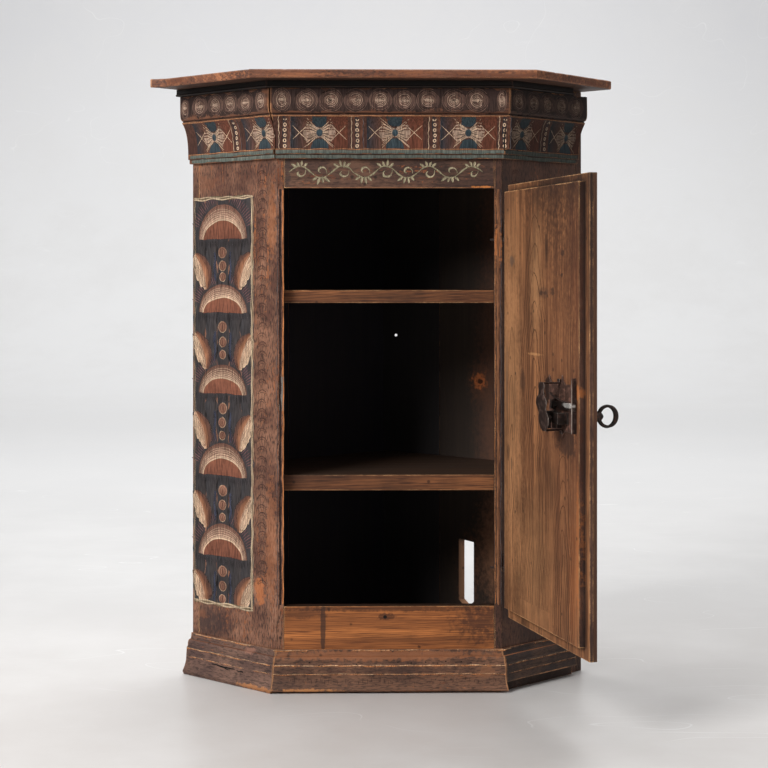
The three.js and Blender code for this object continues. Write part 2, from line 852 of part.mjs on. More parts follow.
// The frame moulding's section: a flat outer band that falls in an ogee to the field.
function frameProfile() {
  const band_share = 0.62;
  const middle_share = 0.81;
  const middle_height = (frame_moulding_thickness + frame_moulding_edge) / 2;
  const profile = new THREE.Shape();
  profile.moveTo(0, 0);
  profile.lineTo(frame_moulding_width, 0);
  profile.lineTo(frame_moulding_width, frame_moulding_edge);
  profile.quadraticCurveTo(
    frame_moulding_width * middle_share,
    frame_moulding_edge,
    frame_moulding_width * middle_share,
    middle_height,
  );
  profile.lineTo(frame_moulding_width * band_share, middle_height);
  profile.lineTo(frame_moulding_width * band_share, frame_moulding_thickness);
  profile.lineTo(0, frame_moulding_thickness);
  return profile;
}

// A length of the frame, from outer corner to outer corner along X, mitred so that it narrows inwards.
function frameLength(length) {
  const geometry = prism(frameProfile(), joint_gap, length - joint_gap);
  const turn = new THREE.Matrix4().makeBasis(
    new THREE.Vector3(0, 0, 1),
    new THREE.Vector3(0, -1, 0),
    new THREE.Vector3(1, 0, 0),
  );
  geometry.applyMatrix4(turn);
  const place = geometry.getAttribute("position");
  for (let i = 0; i < place.count; i += 1) {
    const inwards = place.getX(i) < length / 2 ? place.getZ(i) : -place.getZ(i);
    place.setX(i, place.getX(i) + inwards);
  }
  return geometry;
}

function buildDoorFrame() {
  const width = lip.right - lip.left;
  const height = lip.top - lip.bottom;
  const lengths = [
    { name: "bottom", x: lip.left, z: lip.bottom, length: width },
    { name: "hinge_side", x: lip.right, z: lip.bottom, length: height },
    { name: "top", x: lip.right, z: lip.top, length: width },
    { name: "lock_side", x: lip.left, z: lip.top, length: height },
  ];
  lengths.forEach(({ name, x, z, length }, i) => {
    const corner = group(leaf, x, field_front - joint_gap, z);
    corner.rotation.y = (-i * Math.PI) / 2;
    piece(corner, `door_moulding_${name}`, frameLength(length), "painted_frieze");
  });
}

// A hinge strap: a spade-shaped leaf on the frame moulding, cranked back to an eye round the pin.
function strap(hinge_height) {
  const middle = frame_front - joint_gap - strap_thickness / 2;
  const bend_start = lip.right + joint_gap;
  const eye_front = hinge_y - pin_radius - pin_clearance - eye_wall / 2;
  const path = new THREE.CurvePath();
  const bend = new THREE.Vector2(bend_start, middle);
  path.add(new THREE.LineCurve(new THREE.Vector2(lip.right - strap_length, middle), bend));
  path.add(
    new THREE.CubicBezierCurve(
      bend,
      new THREE.Vector2((bend_start + hinge_x) / 2, middle),
      new THREE.Vector2((bend_start + hinge_x) / 2, eye_front),
      new THREE.Vector2(hinge_x, eye_front),
    ),
  );
  const half_eye = eye_height / 2;
  const strip = prism(band(path, strap_thickness, bow_steps), -strap_spread, strap_spread);
  const face = facePlate(spade(), middle - strap_spread, hinge_y + strap_spread);
  const leaf_geometry = common(strip, face);
  const bore_radius = pin_radius + pin_clearance;
  const outer = bar(bore_radius + eye_wall, -half_eye, half_eye).translate(hinge_x, hinge_y, 0);
  const bore = bar(bore_radius, -eye_height, eye_height).translate(hinge_x, hinge_y, 0);
  return cut(joined(leaf_geometry, outer), bore).translate(0, 0, hinge_height);
}

// The strap's outline seen from the front: a point, a broad spade and a neck as high as the eye.
function spade() {
  const tip = lip.right - strap_length;
  const half = strap_spread / 2;
  const neck = strap_neck / 2;
  const broad_share = 0.36;
  const neck_share = 0.78;
  const broad = tip + strap_length * broad_share;
  const waist = tip + strap_length * neck_share;
  const shape = new THREE.Shape();
  shape.moveTo(tip, 0);
  shape.quadraticCurveTo(tip + half / 2, -neck / 2, broad, -half);
  shape.quadraticCurveTo(waist, -half, waist, -neck);
  shape.lineTo(lip.right, -neck);
  shape.lineTo(lip.right + joint_gap, -eye_height / 2);
  shape.lineTo(hinge_x, -eye_height / 2);
  shape.lineTo(hinge_x, eye_height / 2);
  shape.lineTo(lip.right + joint_gap, eye_height / 2);
  shape.lineTo(lip.right, neck);
  shape.lineTo(waist, neck);
  shape.quadraticCurveTo(waist, half, broad, half);
  shape.quadraticCurveTo(tip + half / 2, neck / 2, tip, 0);
  return shape;
}

// The escutcheon: a shield with a pointed foot, round the keyhole.
function escutcheon() {
  const half = escutcheon_width / 2;
  const rise_share = 0.42;
  const rise = escutcheon_height * rise_share;
  const fall = escutcheon_height - rise;
  const shape = new THREE.Shape();
  shape.moveTo(0, -fall);
  shape.quadraticCurveTo(half, -fall / 2, half, 0);
  shape.quadraticCurveTo(half / 2, rise / 4, half, rise / 2);
  shape.quadraticCurveTo(half / 3, rise / 2, 0, rise);
  shape.quadraticCurveTo(-half / 3, rise / 2, -half, rise / 2);
  shape.quadraticCurveTo(-half / 2, rise / 4, -half, 0);
  shape.quadraticCurveTo(-half, -fall / 2, 0, -fall);
  const back = field_front - joint_gap;
  const front = back - escutcheon_thickness;
  const plate = facePlate(shape, front, back);
  return cut(plate, keyhole(0, front - cut_overrun, back + cut_overrun)).translate(key_x, 0, key_height);
}

function buildDoor() {
  piece(leaf, "door_board", doorBoard(), "bare_pine");
  buildDoorFrame();
  piece(leaf, "hinge_strap_upper", strap(upper_hinge_height), "forged_iron");
  piece(leaf, "hinge_strap_lower", strap(lower_hinge_height), "forged_iron");
  piece(leaf, "escutcheon", escutcheon(), "forged_iron");
}

// Lock. Its frame has the key's axis as Y, pointing into the cupboard, and zero at the door's inner face.
const lock = group(leaf, key_x, door_inner_depth, key_height);

// The plate's outline: three points along the top, at the corners and the middle, and one at the foot.
function plateOutline() {
  const [a, b] = [-plate_lock_side, plate_hinge_side];
  const middle = (a + b) / 2;
  const horn = plate_horn;
  const foot_spread_share = 1.2;
  const spread = plate_point * foot_spread_share;
  const shape = new THREE.Shape();
  shape.moveTo(a, -plate_bottom);
  shape.lineTo(middle - spread, -plate_bottom);
  shape.quadraticCurveTo(middle - plate_point / 2, -plate_bottom, middle, -plate_bottom - plate_point);
  shape.quadraticCurveTo(middle + plate_point / 2, -plate_bottom, middle + spread, -plate_bottom);
  shape.lineTo(b, -plate_bottom);
  shape.lineTo(b, plate_top + horn);
  shape.quadraticCurveTo(b - horn / 2, plate_top, b - horn, plate_top);
  shape.lineTo(middle + plate_peak, plate_top);
  shape.quadraticCurveTo(middle + plate_peak / 3, plate_top, middle, plate_top + plate_peak);
  shape.quadraticCurveTo(middle - plate_peak / 3, plate_top, middle - plate_peak, plate_top);
  shape.lineTo(a + horn, plate_top);
  shape.quadraticCurveTo(a + horn / 2, plate_top, a, plate_top + horn);
  return shape;
}

// The lock plate, with its lock-side edge turned up as the forend that the bolt slides through.
function lockPlate() {
  const plate = facePlate(plateOutline(), plate_back, plate_face);
  const forend = block(
    [-plate_lock_side, forend_thickness - plate_lock_side],
    [plate_back, forend_height],
    [-plate_bottom, plate_top + plate_horn],
  );
  const window_cut = block(
    [-plate_lock_side - cut_overrun, forend_thickness - plate_lock_side + joint_gap],
    [bolt_back - joint_gap, bolt_face + joint_gap],
    [bolt_bottom - joint_gap, bolt_bottom + bolt_height + joint_gap],
  );
  const hole = keyhole(0, plate_back - cut_overrun, plate_face + cut_overrun);
  return cut(joined(plate, forend), window_cut, hole);
}

// The bolt, drawn back, with an arched talon in its lower edge in which the key's bit pushes.
function lockBolt() {
  const bar_geometry = block(
    [-plate_lock_side - bolt_proud, bolt_tail],
    [bolt_back, bolt_face],
    [bolt_bottom, bolt_bottom + bolt_height],
  );
  const sweep = key_bit_reach + key_clearance;
  const half_talon = Math.sqrt(sweep ** 2 - (bolt_bottom - key_bit_thickness / 2) ** 2) + key_clearance;
  const talon = alongAxis(half_talon, bolt_back - cut_overrun, bolt_face + cut_overrun);
  const flat = (sweep - bolt_bottom) / half_talon;
  talon.scale(1, 1, flat).translate(bolt_throw / 2, 0, bolt_bottom);
  return cut(bar_geometry, talon);
}

// The staple that holds the bolt's tail down on the plate.
function staple() {
  const low = bolt_bottom - joint_gap;
  const high = bolt_bottom + bolt_height + joint_gap;
  const section = hat(low, high, part_floor, bolt_thickness + joint_gap, staple_thickness, staple_foot);
  return crossBar(section, staple_place - staple_width / 2, staple_place + staple_width / 2);
}

// The leaf spring: riveted at its tail end, it bows down and bears on the bolt.
function spring() {
  const rest = bolt_bottom + bolt_height + joint_gap + spring_thickness / 2;
  const start = new THREE.Vector2(plate_hinge_side - plate_horn, rest + spring_rise);
  const touch = new THREE.Vector2(-plate_lock_side * spring_reach_share, rest);
  const bend = new THREE.Vector2((start.x + touch.x) / 2, rest);
  const curve = new THREE.QuadraticBezierCurve(start, bend, touch);
  return facePlate(band(curve, spring_thickness, curve_steps), bolt_back, bolt_face);
}

// The bridge over the lock, seen from inside: a small round head, a neck, a broad belly and a long point.
function bridgeOutline() {
  const half_shares = [
    [0.97, 0.3],
    [0.9, 0.42],
    [0.77, 0.34],
    [0.66, 0.6],
    [0.52, 0.98],
    [0.42, 0.86],
    [0.34, 0.96],
    [0.2, 0.78],
    [0.05, 0.32],
  ];
  const height = bridge_top + bridge_bottom;
  const side = half_shares.map(([rise, half]) => [half * bridge_half_width, rise * height - bridge_bottom]);
  const right_side = side.map(([x, z]) => new THREE.Vector2(x, z));
  const left_side = side.map(([x, z]) => new THREE.Vector2(-x, z)).reverse();
  const shape = new THREE.Shape();
  shape.moveTo(0, bridge_top);
  shape.splineThru(right_side);
  shape.lineTo(0, -bridge_bottom);
  shape.lineTo(left_side[0].x, left_side[0].y);
  shape.splineThru(left_side.slice(1));
  return shape;
}

// Seen from the side the bridge has a leg and a foot at each end, and a hole in it takes the key's tip.
function bridge() {
  const reach = bridge_thickness + bridge_foot;
  const low = reach - bridge_bottom;
  const high = bridge_top - reach;
  const section = hat(low, high, part_floor, bridge_clear, bridge_thickness, bridge_foot);
  const half = bridge_half_width + cut_overrun;
  const face = facePlate(bridgeOutline(), 0, bridge_back + bridge_thickness + cut_overrun);
  const bent = common(crossBar(section, -half, half), face);
  return cut(bent, alongAxis(key_radius + key_clearance, bridge_back - cut_overrun, key_tip + cut_overrun));
}

// A ward: a low bridge across the key's axis, cut through for the shank and for the bit's way in.
function ward(clear, reach) {
  const section = hat(-reach, reach, part_floor, clear, ward_thickness, ward_foot);
  return cut(prism(section, -ward_half_height, ward_half_height), keyhole(0, 0, bridge_back));
}

function buildLock() {
  piece(lock, "lock_plate", lockPlate(), "forged_iron");
  piece(lock, "lock_bolt", lockBolt(), "worn_iron");
  piece(lock, "bolt_staple", staple(), "forged_iron");
  piece(lock, "bolt_spring", spring(), "forged_iron");
  piece(lock, "lower_ward", ward(lower_ward_clear, ward_reach), "forged_iron");
  piece(lock, "upper_ward", ward(upper_ward_clear, ward_reach + ward_foot + ward_thickness), "forged_iron");
  piece(lock, "lock_bridge", bridge(), "forged_iron");
}

// Key

// The bit hangs below the shank in three steps, with a cut for each ward between them.
function keyBit() {
  const half = key_bit_thickness / 2;
  const tops = [lower_ward_clear, upper_ward_clear].map((clear) => part_floor + clear);
  const starts = [bolt_back, ...tops.map((level) => level + ward_thickness + key_clearance)];
  const ends = [...tops.map((level) => level - key_clearance), bridge_back - key_clearance];
  return starts.map((start, i) => block([-half, half], [start, ends[i]], [-key_bit_reach, 0]));
}

function key() {
  const bow_end = -key_bow_stand;
  const bow_start = bow_end + key_bow_length;
  const collar = bow_start + key_collar_length;
  const knob = bow_start - key_knob_length;
  const shank = turned([
    [0, -key_tip],
    [key_radius, -key_tip],
    [key_radius, -collar - key_collar_length],
    [key_collar_radius, -collar],
    [key_collar_radius, -bow_start],
    [key_radius, key_collar_length / 2 - bow_start],
    [0, -knob],
  ]).rotateX(Math.PI / 2);
  const middle = bow_end + key_bow_length / 2;
  const half_length = key_bow_length / 2 - key_bow_wire;
  const half_height = key_bow_height / 2 - key_bow_wire;
  const centre = (turn) =>
    new THREE.Vector3(0, middle - half_length * Math.cos(turn), half_height * Math.sin(turn));
  const thin_share = 0.24;
  const thickness = (turn) => key_bow_wire * (1 - thin_share + thin_share * Math.cos(turn));
  return joined(shank, ring(centre, thickness), ...keyBit());
}

// Assembly

buildSideBoards();
buildRails();
buildLevels();
buildBackWalls();
buildCornice();
buildCrown();
buildPlinth();
buildTopBoard();
buildCaseIron();
buildDoor();
buildLock();
piece(lock, "key", key(), "forged_iron");

export default cupboard;
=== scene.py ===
"""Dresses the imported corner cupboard: worn pine, old distemper with painted ornament, forged iron.

Every length is in metres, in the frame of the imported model: +Z is up, the front faces -Y, and the origin
lies on the floor under the middle of the bottom rail. Each sub-assembly is a class that builds its own
pieces and gives them their finishes.
"""

import json
import logging
import math
from dataclasses import dataclass, field, replace
from enum import Enum
from functools import reduce
from typing import Callable, Sequence

import bmesh
import bpy
import numpy as np
from mathutils import Matrix, Vector


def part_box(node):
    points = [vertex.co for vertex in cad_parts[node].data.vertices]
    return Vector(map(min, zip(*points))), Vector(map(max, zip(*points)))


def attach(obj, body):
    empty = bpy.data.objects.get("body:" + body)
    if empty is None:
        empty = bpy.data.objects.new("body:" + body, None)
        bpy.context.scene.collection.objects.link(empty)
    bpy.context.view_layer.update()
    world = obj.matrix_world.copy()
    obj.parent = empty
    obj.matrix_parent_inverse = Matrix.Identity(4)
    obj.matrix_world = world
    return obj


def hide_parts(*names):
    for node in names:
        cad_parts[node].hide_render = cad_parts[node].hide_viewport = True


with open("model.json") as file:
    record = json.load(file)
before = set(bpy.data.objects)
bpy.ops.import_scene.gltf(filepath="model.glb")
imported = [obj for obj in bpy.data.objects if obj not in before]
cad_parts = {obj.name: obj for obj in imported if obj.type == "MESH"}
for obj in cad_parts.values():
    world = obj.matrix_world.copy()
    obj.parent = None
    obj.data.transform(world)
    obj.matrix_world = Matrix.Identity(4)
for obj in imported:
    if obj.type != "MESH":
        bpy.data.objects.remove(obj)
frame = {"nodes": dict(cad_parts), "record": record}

log = logging.getLogger("cupboard")

Colour = tuple[int, int, int]
Place = tuple[float, float, float]
Socket = bpy.types.NodeSocket

HALF_ROOT = math.sqrt(0.5)
MITRE = math.tan(math.radians(22.5))
UP = np.array([0.0, 0.0, 1.0])
DOOR_TURN = math.radians(13.7)
DOOR_ALONG = (math.sin(DOOR_TURN), -math.cos(DOOR_TURN), 0.0)
DOOR_OUT = (math.cos(DOOR_TURN), math.sin(DOOR_TURN), 0.0)
FRONT_OUT = (0.0, -1.0, 0.0)
RIGHT_OUT = (HALF_ROOT, -HALF_ROOT, 0.0)
LEFT_OUT = (-HALF_ROOT, -HALF_ROOT, 0.0)
SHARP_DEG = 32
IRON_SHARP_DEG = 50
STROKE_SHARP_DEG = 60
LEVEL_DEG = 0.4
SAME_PLACE = 1e-6


def linear_colour(colour: Colour) -> tuple[float, float, float]:
    """The linear colour of an 8-bit one: a power curve with a short straight foot.

    Args:
        colour: red, green and blue from 0 to 255.

    Returns:
        Red, green and blue from 0 to 1.
    """
    shares = np.array(colour) / 255
    linear = np.where(shares <= 0.04045, shares / 12.92, ((shares + 0.055) / 1.055) ** 2.4)
    return tuple(float(value) for value in linear)


# Meshes worked out with numpy


def grid_faces(rows: int, columns: int) -> np.ndarray:
    """The quads of a grid whose vertices run row by row: each joins a vertex to the next in both ways.

    Args:
        rows: how many rows of vertices there are.
        columns: how many vertices a row has.

    Returns:
        The quads, as rows of four indices.
    """
    corner = np.arange(rows - 1)[:, None] * columns + np.arange(columns - 1)[None, :]
    corner = corner.ravel()
    return np.stack([corner, corner + 1, corner + columns + 1, corner + columns], axis=1)


def closed_slab(top: np.ndarray, bottom: np.ndarray) -> tuple[np.ndarray, np.ndarray]:
    """Two grids of the same shape made one closed body: both sheets, and a wall round their borders.

    Args:
        top: the outer sheet, rows by columns by 3.
        bottom: the inner sheet, of the same shape.

    Returns:
        The vertices, and the quads with their faces outwards if top lies on the side that
        rows crossed with columns points to.
    """
    rows, columns = top.shape[:2]
    count = rows * columns
    index = np.arange(count).reshape(rows, columns)
    border = np.concatenate([index[0, :-1], index[:-1, -1], index[-1, :0:-1], index[:0:-1, 0]])
    ahead = np.roll(border, -1)
    sheet = grid_faces(rows, columns)
    wall = np.stack([ahead, border, border + count, ahead + count], axis=1)
    faces = np.concatenate([sheet, sheet[:, ::-1] + count, wall])
    return np.concatenate([top.reshape(-1, 3), bottom.reshape(-1, 3)]), faces


def tube_faces(rows: int, columns: int) -> np.ndarray:
    """The quads of a grid that closes on itself across its columns, as a tube does.

    Args:
        rows: how many rows of vertices there are.
        columns: how many vertices a row has.

    Returns:
        The quads, as rows of four indices.
    """
    row = np.arange(rows - 1)[:, None] * columns
    column = np.arange(columns)[None, :]
    ahead = (column + 1) % columns
    quads = [row + column, row + ahead, row + columns + ahead, row + columns + column]
    return np.stack([quad.ravel() for quad in quads], axis=1)


def signed_volume(places: np.ndarray, faces: Sequence[Sequence[int]]) -> float:
    """The volume inside closed faces: a sixth of the triple products of their fans of triangles.

    Args:
        places: the vertices.
        faces: the faces, of any number of corners.

    Returns:
        The volume, which is negative where the faces point inwards.
    """
    total = 0.0
    for size in {len(face) for face in faces}:
        loop = places[np.array([face for face in faces if len(face) == size])]
        for step in range(1, size - 1):
            product = np.cross(loop[:, step], loop[:, step + 1])
            total += float(np.einsum("ij,ij->", loop[:, 0], product))
    return total / 6


def drift(along: np.ndarray, seed: int, size: float, wave: float) -> np.ndarray:
    """A slow unevenness along a length: five sines of falling strength whose phases follow the seed.

    Args:
        along: places along the length.
        seed: picks the phases.
        size: how far it strays, about.
        wave: the length of the slowest sine.

    Returns:
        How far it strays at each place.
    """
    phases = np.random.default_rng(seed).uniform(0, 2 * math.pi, 5)
    total = np.zeros_like(along, dtype=float)
    for order, phase in enumerate(phases, start=1):
        total += np.sin(2 * math.pi * along * order**0.8 / wave + phase) / order
    return size * total / 2


def rounded(corners: Sequence[Sequence[float]], radius: float, steps: int = 3) -> np.ndarray:
    """A closed outline with eased corners: each is a parabola between points a radius away on both sides.

    Args:
        corners: the outline before it is eased.
        radius: how far from its corner an arc starts.
        steps: how many steps an arc has.

    Returns:
        The points of the outline.
    """
    points = np.array(corners, dtype=float)
    before, after = np.roll(points, 1, axis=0) - points, np.roll(points, -1, axis=0) - points
    reach = [np.linalg.norm(side, axis=1, keepdims=True) for side in (before, after)]
    eased = [np.minimum(radius, 0.45 * length) for length in reach]
    start, end = points + before / reach[0] * eased[0], points + after / reach[1] * eased[1]
    share = np.linspace(0, 1, steps + 1)[None, :, None]
    arcs = (1 - share) ** 2 * start[:, None] + 2 * share * (1 - share) * points[:, None]
    arcs += share**2 * end[:, None]
    return arcs.reshape(-1, 2)


def shown(name: str, mesh: bpy.types.ID | None) -> bpy.types.Object:
    """An object of a mesh, camera or lamp, in the scene.

    Args:
        name: the object's name.
        mesh: what it holds.

    Returns:
        The object.
    """
    made = bpy.data.objects.new(name, mesh)
    bpy.context.scene.collection.objects.link(made)
    return made


def paired(first: object, second: object) -> np.ndarray:
    """Points of two measures, each a list or one number for all."""
    return np.stack(np.broadcast_arrays(first, second), axis=1)


def new_mesh(name: str, places: np.ndarray, faces: Sequence,
             sharp_deg: float = SHARP_DEG) -> bpy.types.Object:
    """A shown object of these vertices and faces, smooth up to a sharp angle, with its faces outwards.

    Args:
        name: the piece's name.
        places: the vertices.
        faces: the faces.
        sharp_deg: the angle from which an edge is sharp.

    Returns:
        The piece.
    """
    listed = [list(face) for face in faces]
    if signed_volume(places, listed) < 0:
        listed = [face[::-1] for face in listed]
    mesh = bpy.data.meshes.new(name)
    mesh.from_pydata(places.tolist(), [], listed)
    mesh.validate()
    mesh.shade_smooth()
    mesh.set_sharp_from_angle(angle=math.radians(sharp_deg))
    return shown(name, mesh)


def swept(stations: np.ndarray) -> tuple[np.ndarray, list]:
    """A closed outline carried from station to station, with a face over each end.

    Args:
        stations: the outline's points at each station, stations by points by 3.

    Returns:
        The vertices and the faces.
    """
    rows, columns = stations.shape[:2]
    faces = [list(face) for face in tube_faces(rows, columns)]
    faces.append(list(range(columns))[::-1])
    faces.append([(rows - 1) * columns + index for index in range(columns)])
    return stations.reshape(-1, 3), faces


def lathed(profile: np.ndarray, centre: np.ndarray, axis: np.ndarray,
           sides: int) -> tuple[np.ndarray, list]:
    """A profile of [radius, distance] turned about an axis: cosine and sine times radius, plus distance.

    Args:
        profile: points from one end to the other, with a small radius at both ends.
        centre: where the distance is zero.
        axis: the direction of growing distance.
        sides: how many steps the turn has.

    Returns:
        The vertices and the faces, with a flat face at each end.
    """
    axis = axis / np.linalg.norm(axis)
    first = np.cross(axis, UP if abs(axis[2]) < 0.9 else np.array([1.0, 0.0, 0.0]))
    first /= np.linalg.norm(first)
    second = np.cross(axis, first)
    turn = np.linspace(0, 2 * math.pi, sides, endpoint=False)
    spoke = np.cos(turn)[:, None] * first + np.sin(turn)[:, None] * second
    rings = centre + profile[:, 0][:, None, None] * spoke + profile[:, 1][:, None, None] * axis
    return swept(rings)


def merged(parts: Sequence[tuple[np.ndarray, Sequence]]) -> tuple[np.ndarray, list]:
    """Several bodies as one list of vertices and one of faces.

    Args:
        parts: the vertices and the faces of each body.

    Returns:
        The vertices and the faces of them all.
    """
    places, faces, start = [], [], 0
    for own_places, own_faces in parts:
        places.append(own_places)
        if isinstance(own_faces, np.ndarray):
            faces += (own_faces + start).tolist()
        else:
            faces += [(np.array(face) + start).tolist() for face in own_faces]
        start += len(own_places)
    return np.concatenate(places), faces


# Wiring of shader nodes


class Wiring:
    """A short hand for adding nodes to one tree and feeding their sockets."""

    def __init__(self, tree: bpy.types.NodeTree) -> None:
        """Keeps the tree that nodes are added to."""
        self.tree = tree

    def feed(self, socket: Socket, value: object) -> None:
        """Links an output to the socket, or sets the socket's own value: three parts are an 8-bit colour.

        Args:
            socket: the input.
            value: an output, a number, a colour or a vector.
        """
        if isinstance(value, bpy.types.NodeSocket):
            self.tree.links.new(value, socket)
        elif socket.type == "RGBA" and len(value) == 3:
            socket.default_value = (*linear_colour(value), 1)
        else:
            socket.default_value = value

    def feed_all(self, node: bpy.types.Node, inputs: dict) -> bpy.types.Node:
        """Feeds the inputs of a node, which are given by name or number.

        Args:
            node: the node.
            inputs: what each input is fed, by name or number.

        Returns:
            The node.
        """
        for key, value in inputs.items():
            self.feed(node.inputs[key], value)
        return node

    def node(self, kind: str, inputs: dict | None = None, **settings: object) -> bpy.types.Node:
        """Adds a node, with its settings and what its inputs are fed.

        Args:
            kind: the node's kind, without the word ShaderNode.
            inputs: what each input is fed, by name or number.
            settings: the node's own settings.

        Returns:
            The node.
        """
        made = self.tree.nodes.new("ShaderNode" + kind)
        for key, value in settings.items():
            setattr(made, key, value)
        return self.feed_all(made, inputs or {})

    def place(self) -> Socket:
        """The place on the object, in metres."""
        return self.node("TexCoord").outputs["Object"]

    def math(self, operation: str, *values: object) -> Socket:
        """A number worked out from others."""
        return self.node("Math", dict(enumerate(values)), operation=operation).outputs[0]

    def add(self, first: object, second: object) -> Socket:
        """The sum of two numbers."""
        return self.math("ADD", first, second)

    def minus(self, first: object, second: object) -> Socket:
        """The difference of two numbers."""
        return self.math("SUBTRACT", first, second)

    def times(self, first: object, second: object) -> Socket:
        """The product of two numbers."""
        return self.math("MULTIPLY", first, second)

    def weighted(self, *pairs: tuple[Socket, float]) -> Socket:
        """The sum of numbers, each times its weight."""
        parts = [self.times(value, weight) for value, weight in pairs]
        return reduce(self.add, parts)

    def mix(self, share: object, first: object, second: object, way: str = "MIX") -> Socket:
        """A colour between two others."""
        inputs = {0: share, 6: first, 7: second}
        return self.node("Mix", inputs, data_type="RGBA", blend_type=way, clamp_factor=True).outputs[2]

    def stain(self, colour: Socket, tone: Colour, mask: Socket, share: float) -> Socket:
        """A colour with a tone laid over it, as strongly as the mask times the share."""
        return self.mix(self.times(mask, share), colour, tone)

    def between(self, share: object, first: object, second: object) -> Socket:
        """A number between two others."""
        inputs = {0: share, 2: first, 3: second}
        return self.node("Mix", inputs, data_type="FLOAT", clamp_factor=True).outputs[0]

    def rise(self, value: object, low: object, high: object) -> Socket:
        """A smooth step from 0 below low to 1 above high."""
        inputs = {"Value": value, "From Min": low, "From Max": high}
        return self.node("MapRange", inputs, interpolation_type="SMOOTHSTEP").outputs[0]

    def stretched(self, vector: Socket, along: float, across: float, through: float) -> Socket:
        """A vector with each of its parts multiplied."""
        inputs = {0: vector, 1: (along, across, through)}
        return self.node("VectorMath", inputs, operation="MULTIPLY").outputs[0]

    def noise(self, vector: Socket, scale: object = 1, detail: float = 3, rough: float = 0.55) -> Socket:
        """Cloudy noise between about 0.2 and 0.8."""
        inputs = {"Vector": vector, "Scale": scale, "Detail": detail, "Roughness": rough}
        return self.node("TexNoise", inputs).outputs["Fac"]

    def parts(self, vector: Socket) -> tuple[Socket, Socket, Socket]:
        """The three parts of a vector."""
        made = self.node("SeparateXYZ", {0: vector})
        return made.outputs[0], made.outputs[1], made.outputs[2]

    def use(self, group: bpy.types.NodeTree, inputs: dict) -> bpy.types.Node:
        """Places a node group and feeds its inputs.

        Args:
            group: the node group.
            inputs: what each input is fed, by name or number.

        Returns:
            The node that holds the group.
        """
        made = self.tree.nodes.new("ShaderNodeGroup")
        made.node_tree = group
        return self.feed_all(made, inputs)


def shader_group(name: str, inputs: dict[str, float | None], outputs: Sequence[str],
                 fill: Callable[[Wiring, dict], dict]) -> bpy.types.NodeTree:
    """Makes a node group that puts out numbers.

    Args:
        name: the group's name.
        inputs: the usual value of each input, or None where it is a vector.
        outputs: the names of the outputs.
        fill: is given the wiring and the input sockets by name, and returns the output sockets by name.

    Returns:
        The node tree of the group.
    """
    tree = bpy.data.node_groups.new(name, "ShaderNodeTree")
    for key, usual in inputs.items():
        kind = "NodeSocketVector" if usual is None else "NodeSocketFloat"
        socket = tree.interface.new_socket(key, in_out="INPUT", socket_type=kind)
        if usual is not None:
            socket.default_value = usual
    for key in outputs:
        tree.interface.new_socket(key, in_out="OUTPUT", socket_type="NodeSocketFloat")
    start = tree.nodes.new("NodeGroupInput")
    end = tree.nodes.new("NodeGroupOutput")
    made = fill(Wiring(tree), {key: start.outputs[key] for key in inputs})
    for key, socket in made.items():
        tree.links.new(socket, end.inputs[key])
    return tree


def fill_grain(w: Wiring, given: dict) -> dict:
    """Pine, with the grain along X: rings of uneven width, cut at a slant, soft streaks and fine fibres.

    Args:
        w: the wiring of the group's tree.
        given: the sockets of the group's inputs, by name.

    Returns:
        What the group puts out, by name.
    """
    vector = given["Vector"]
    along, across, through = w.parts(vector)
    cells = w.node("TexVoronoi", {"Vector": w.stretched(vector, 2.6, 8.5, 5), "Scale": 1.0})
    lively = w.math("GREATER_THAN", w.parts(cells.outputs["Color"])[0], w.minus(1, given["Knots"]))
    near = w.times(w.rise(cells.outputs["Distance"], 0.42, 0.0), lively)
    knot = w.times(w.rise(cells.outputs["Distance"], 0.115, 0.06), lively)
    swerve = w.times(w.minus(w.noise(w.stretched(vector, 1.3, 6, 6), detail=2), 0.5), given["Swerve"])
    tremble = w.times(w.minus(w.noise(w.stretched(vector, 9, 60, 60), detail=2), 0.5), 0.0025)
    side = w.math("PINGPONG", across, 0.12)
    under = w.add(w.math("PINGPONG", w.add(w.times(along, 0.045), through), 0.05), 0.012)
    heart = w.math("SQRT", w.add(w.times(side, side), w.times(under, under)))
    depth = w.add(w.add(heart, w.times(near, 0.022)), w.add(swerve, tremble))
    spacing = w.noise(w.node("CombineXYZ", {0: w.times(depth, 60)}).outputs[0], detail=2)
    turn = w.math("FRACT", w.add(w.math("DIVIDE", depth, given["Ring Width"]), w.times(spacing, 2.6)))
    late = w.times(w.rise(turn, 0.35, 0.86), w.rise(turn, 1.0, 0.9))
    strength = w.rise(w.noise(w.stretched(vector, 0.9, 26, 26), detail=2), 0.3, 0.62)
    ring = w.times(late, strength)
    streak = w.noise(w.stretched(vector, 2.2, 85, 85), detail=4, rough=0.6)
    fibre = w.noise(w.stretched(vector, 22, 700, 700), detail=2)
    height = w.weighted((ring, 0.5), (fibre, 0.5))
    return {"Ring": ring, "Streak": streak, "Fibre": fibre, "Knot": knot, "Height": height}


def fill_wear(w: Wiring, given: dict) -> dict:
    """Where hands and years have rubbed: arrises stand out of the piece, and hollows lie in it, dirty and in
    painted shade.

    Args:
        w: the wiring of the group's tree.
        given: the sockets of the group's inputs, by name.

    Returns:
        What the group puts out, by name.
    """
    inside = w.node("AmbientOcclusion", {"Distance": given["Reach"]}, samples=6, inside=True,
                    only_local=True)
    outside = w.node("AmbientOcclusion", {"Distance": w.times(given["Reach"], 4)}, samples=6,
                     only_local=True)
    broken = w.noise(given["Vector"], scale=130, detail=4, rough=0.65)
    lasting = w.between(w.rise(w.noise(given["Vector"], scale=24, detail=3), 0.4, 0.6), 0.22, 1.0)
    edge = w.rise(w.add(w.minus(1, inside.outputs["AO"]), w.times(broken, 0.6)), 0.52, 0.72)
    # Hollows found by occlusion: dirt, and painted shade where the light reaches less.
    hollow_dirt_and_shade = w.rise(outside.outputs["AO"], 0.95, 0.45)
    return {"Edge": w.times(edge, lasting), "Hollow": hollow_dirt_and_shade}


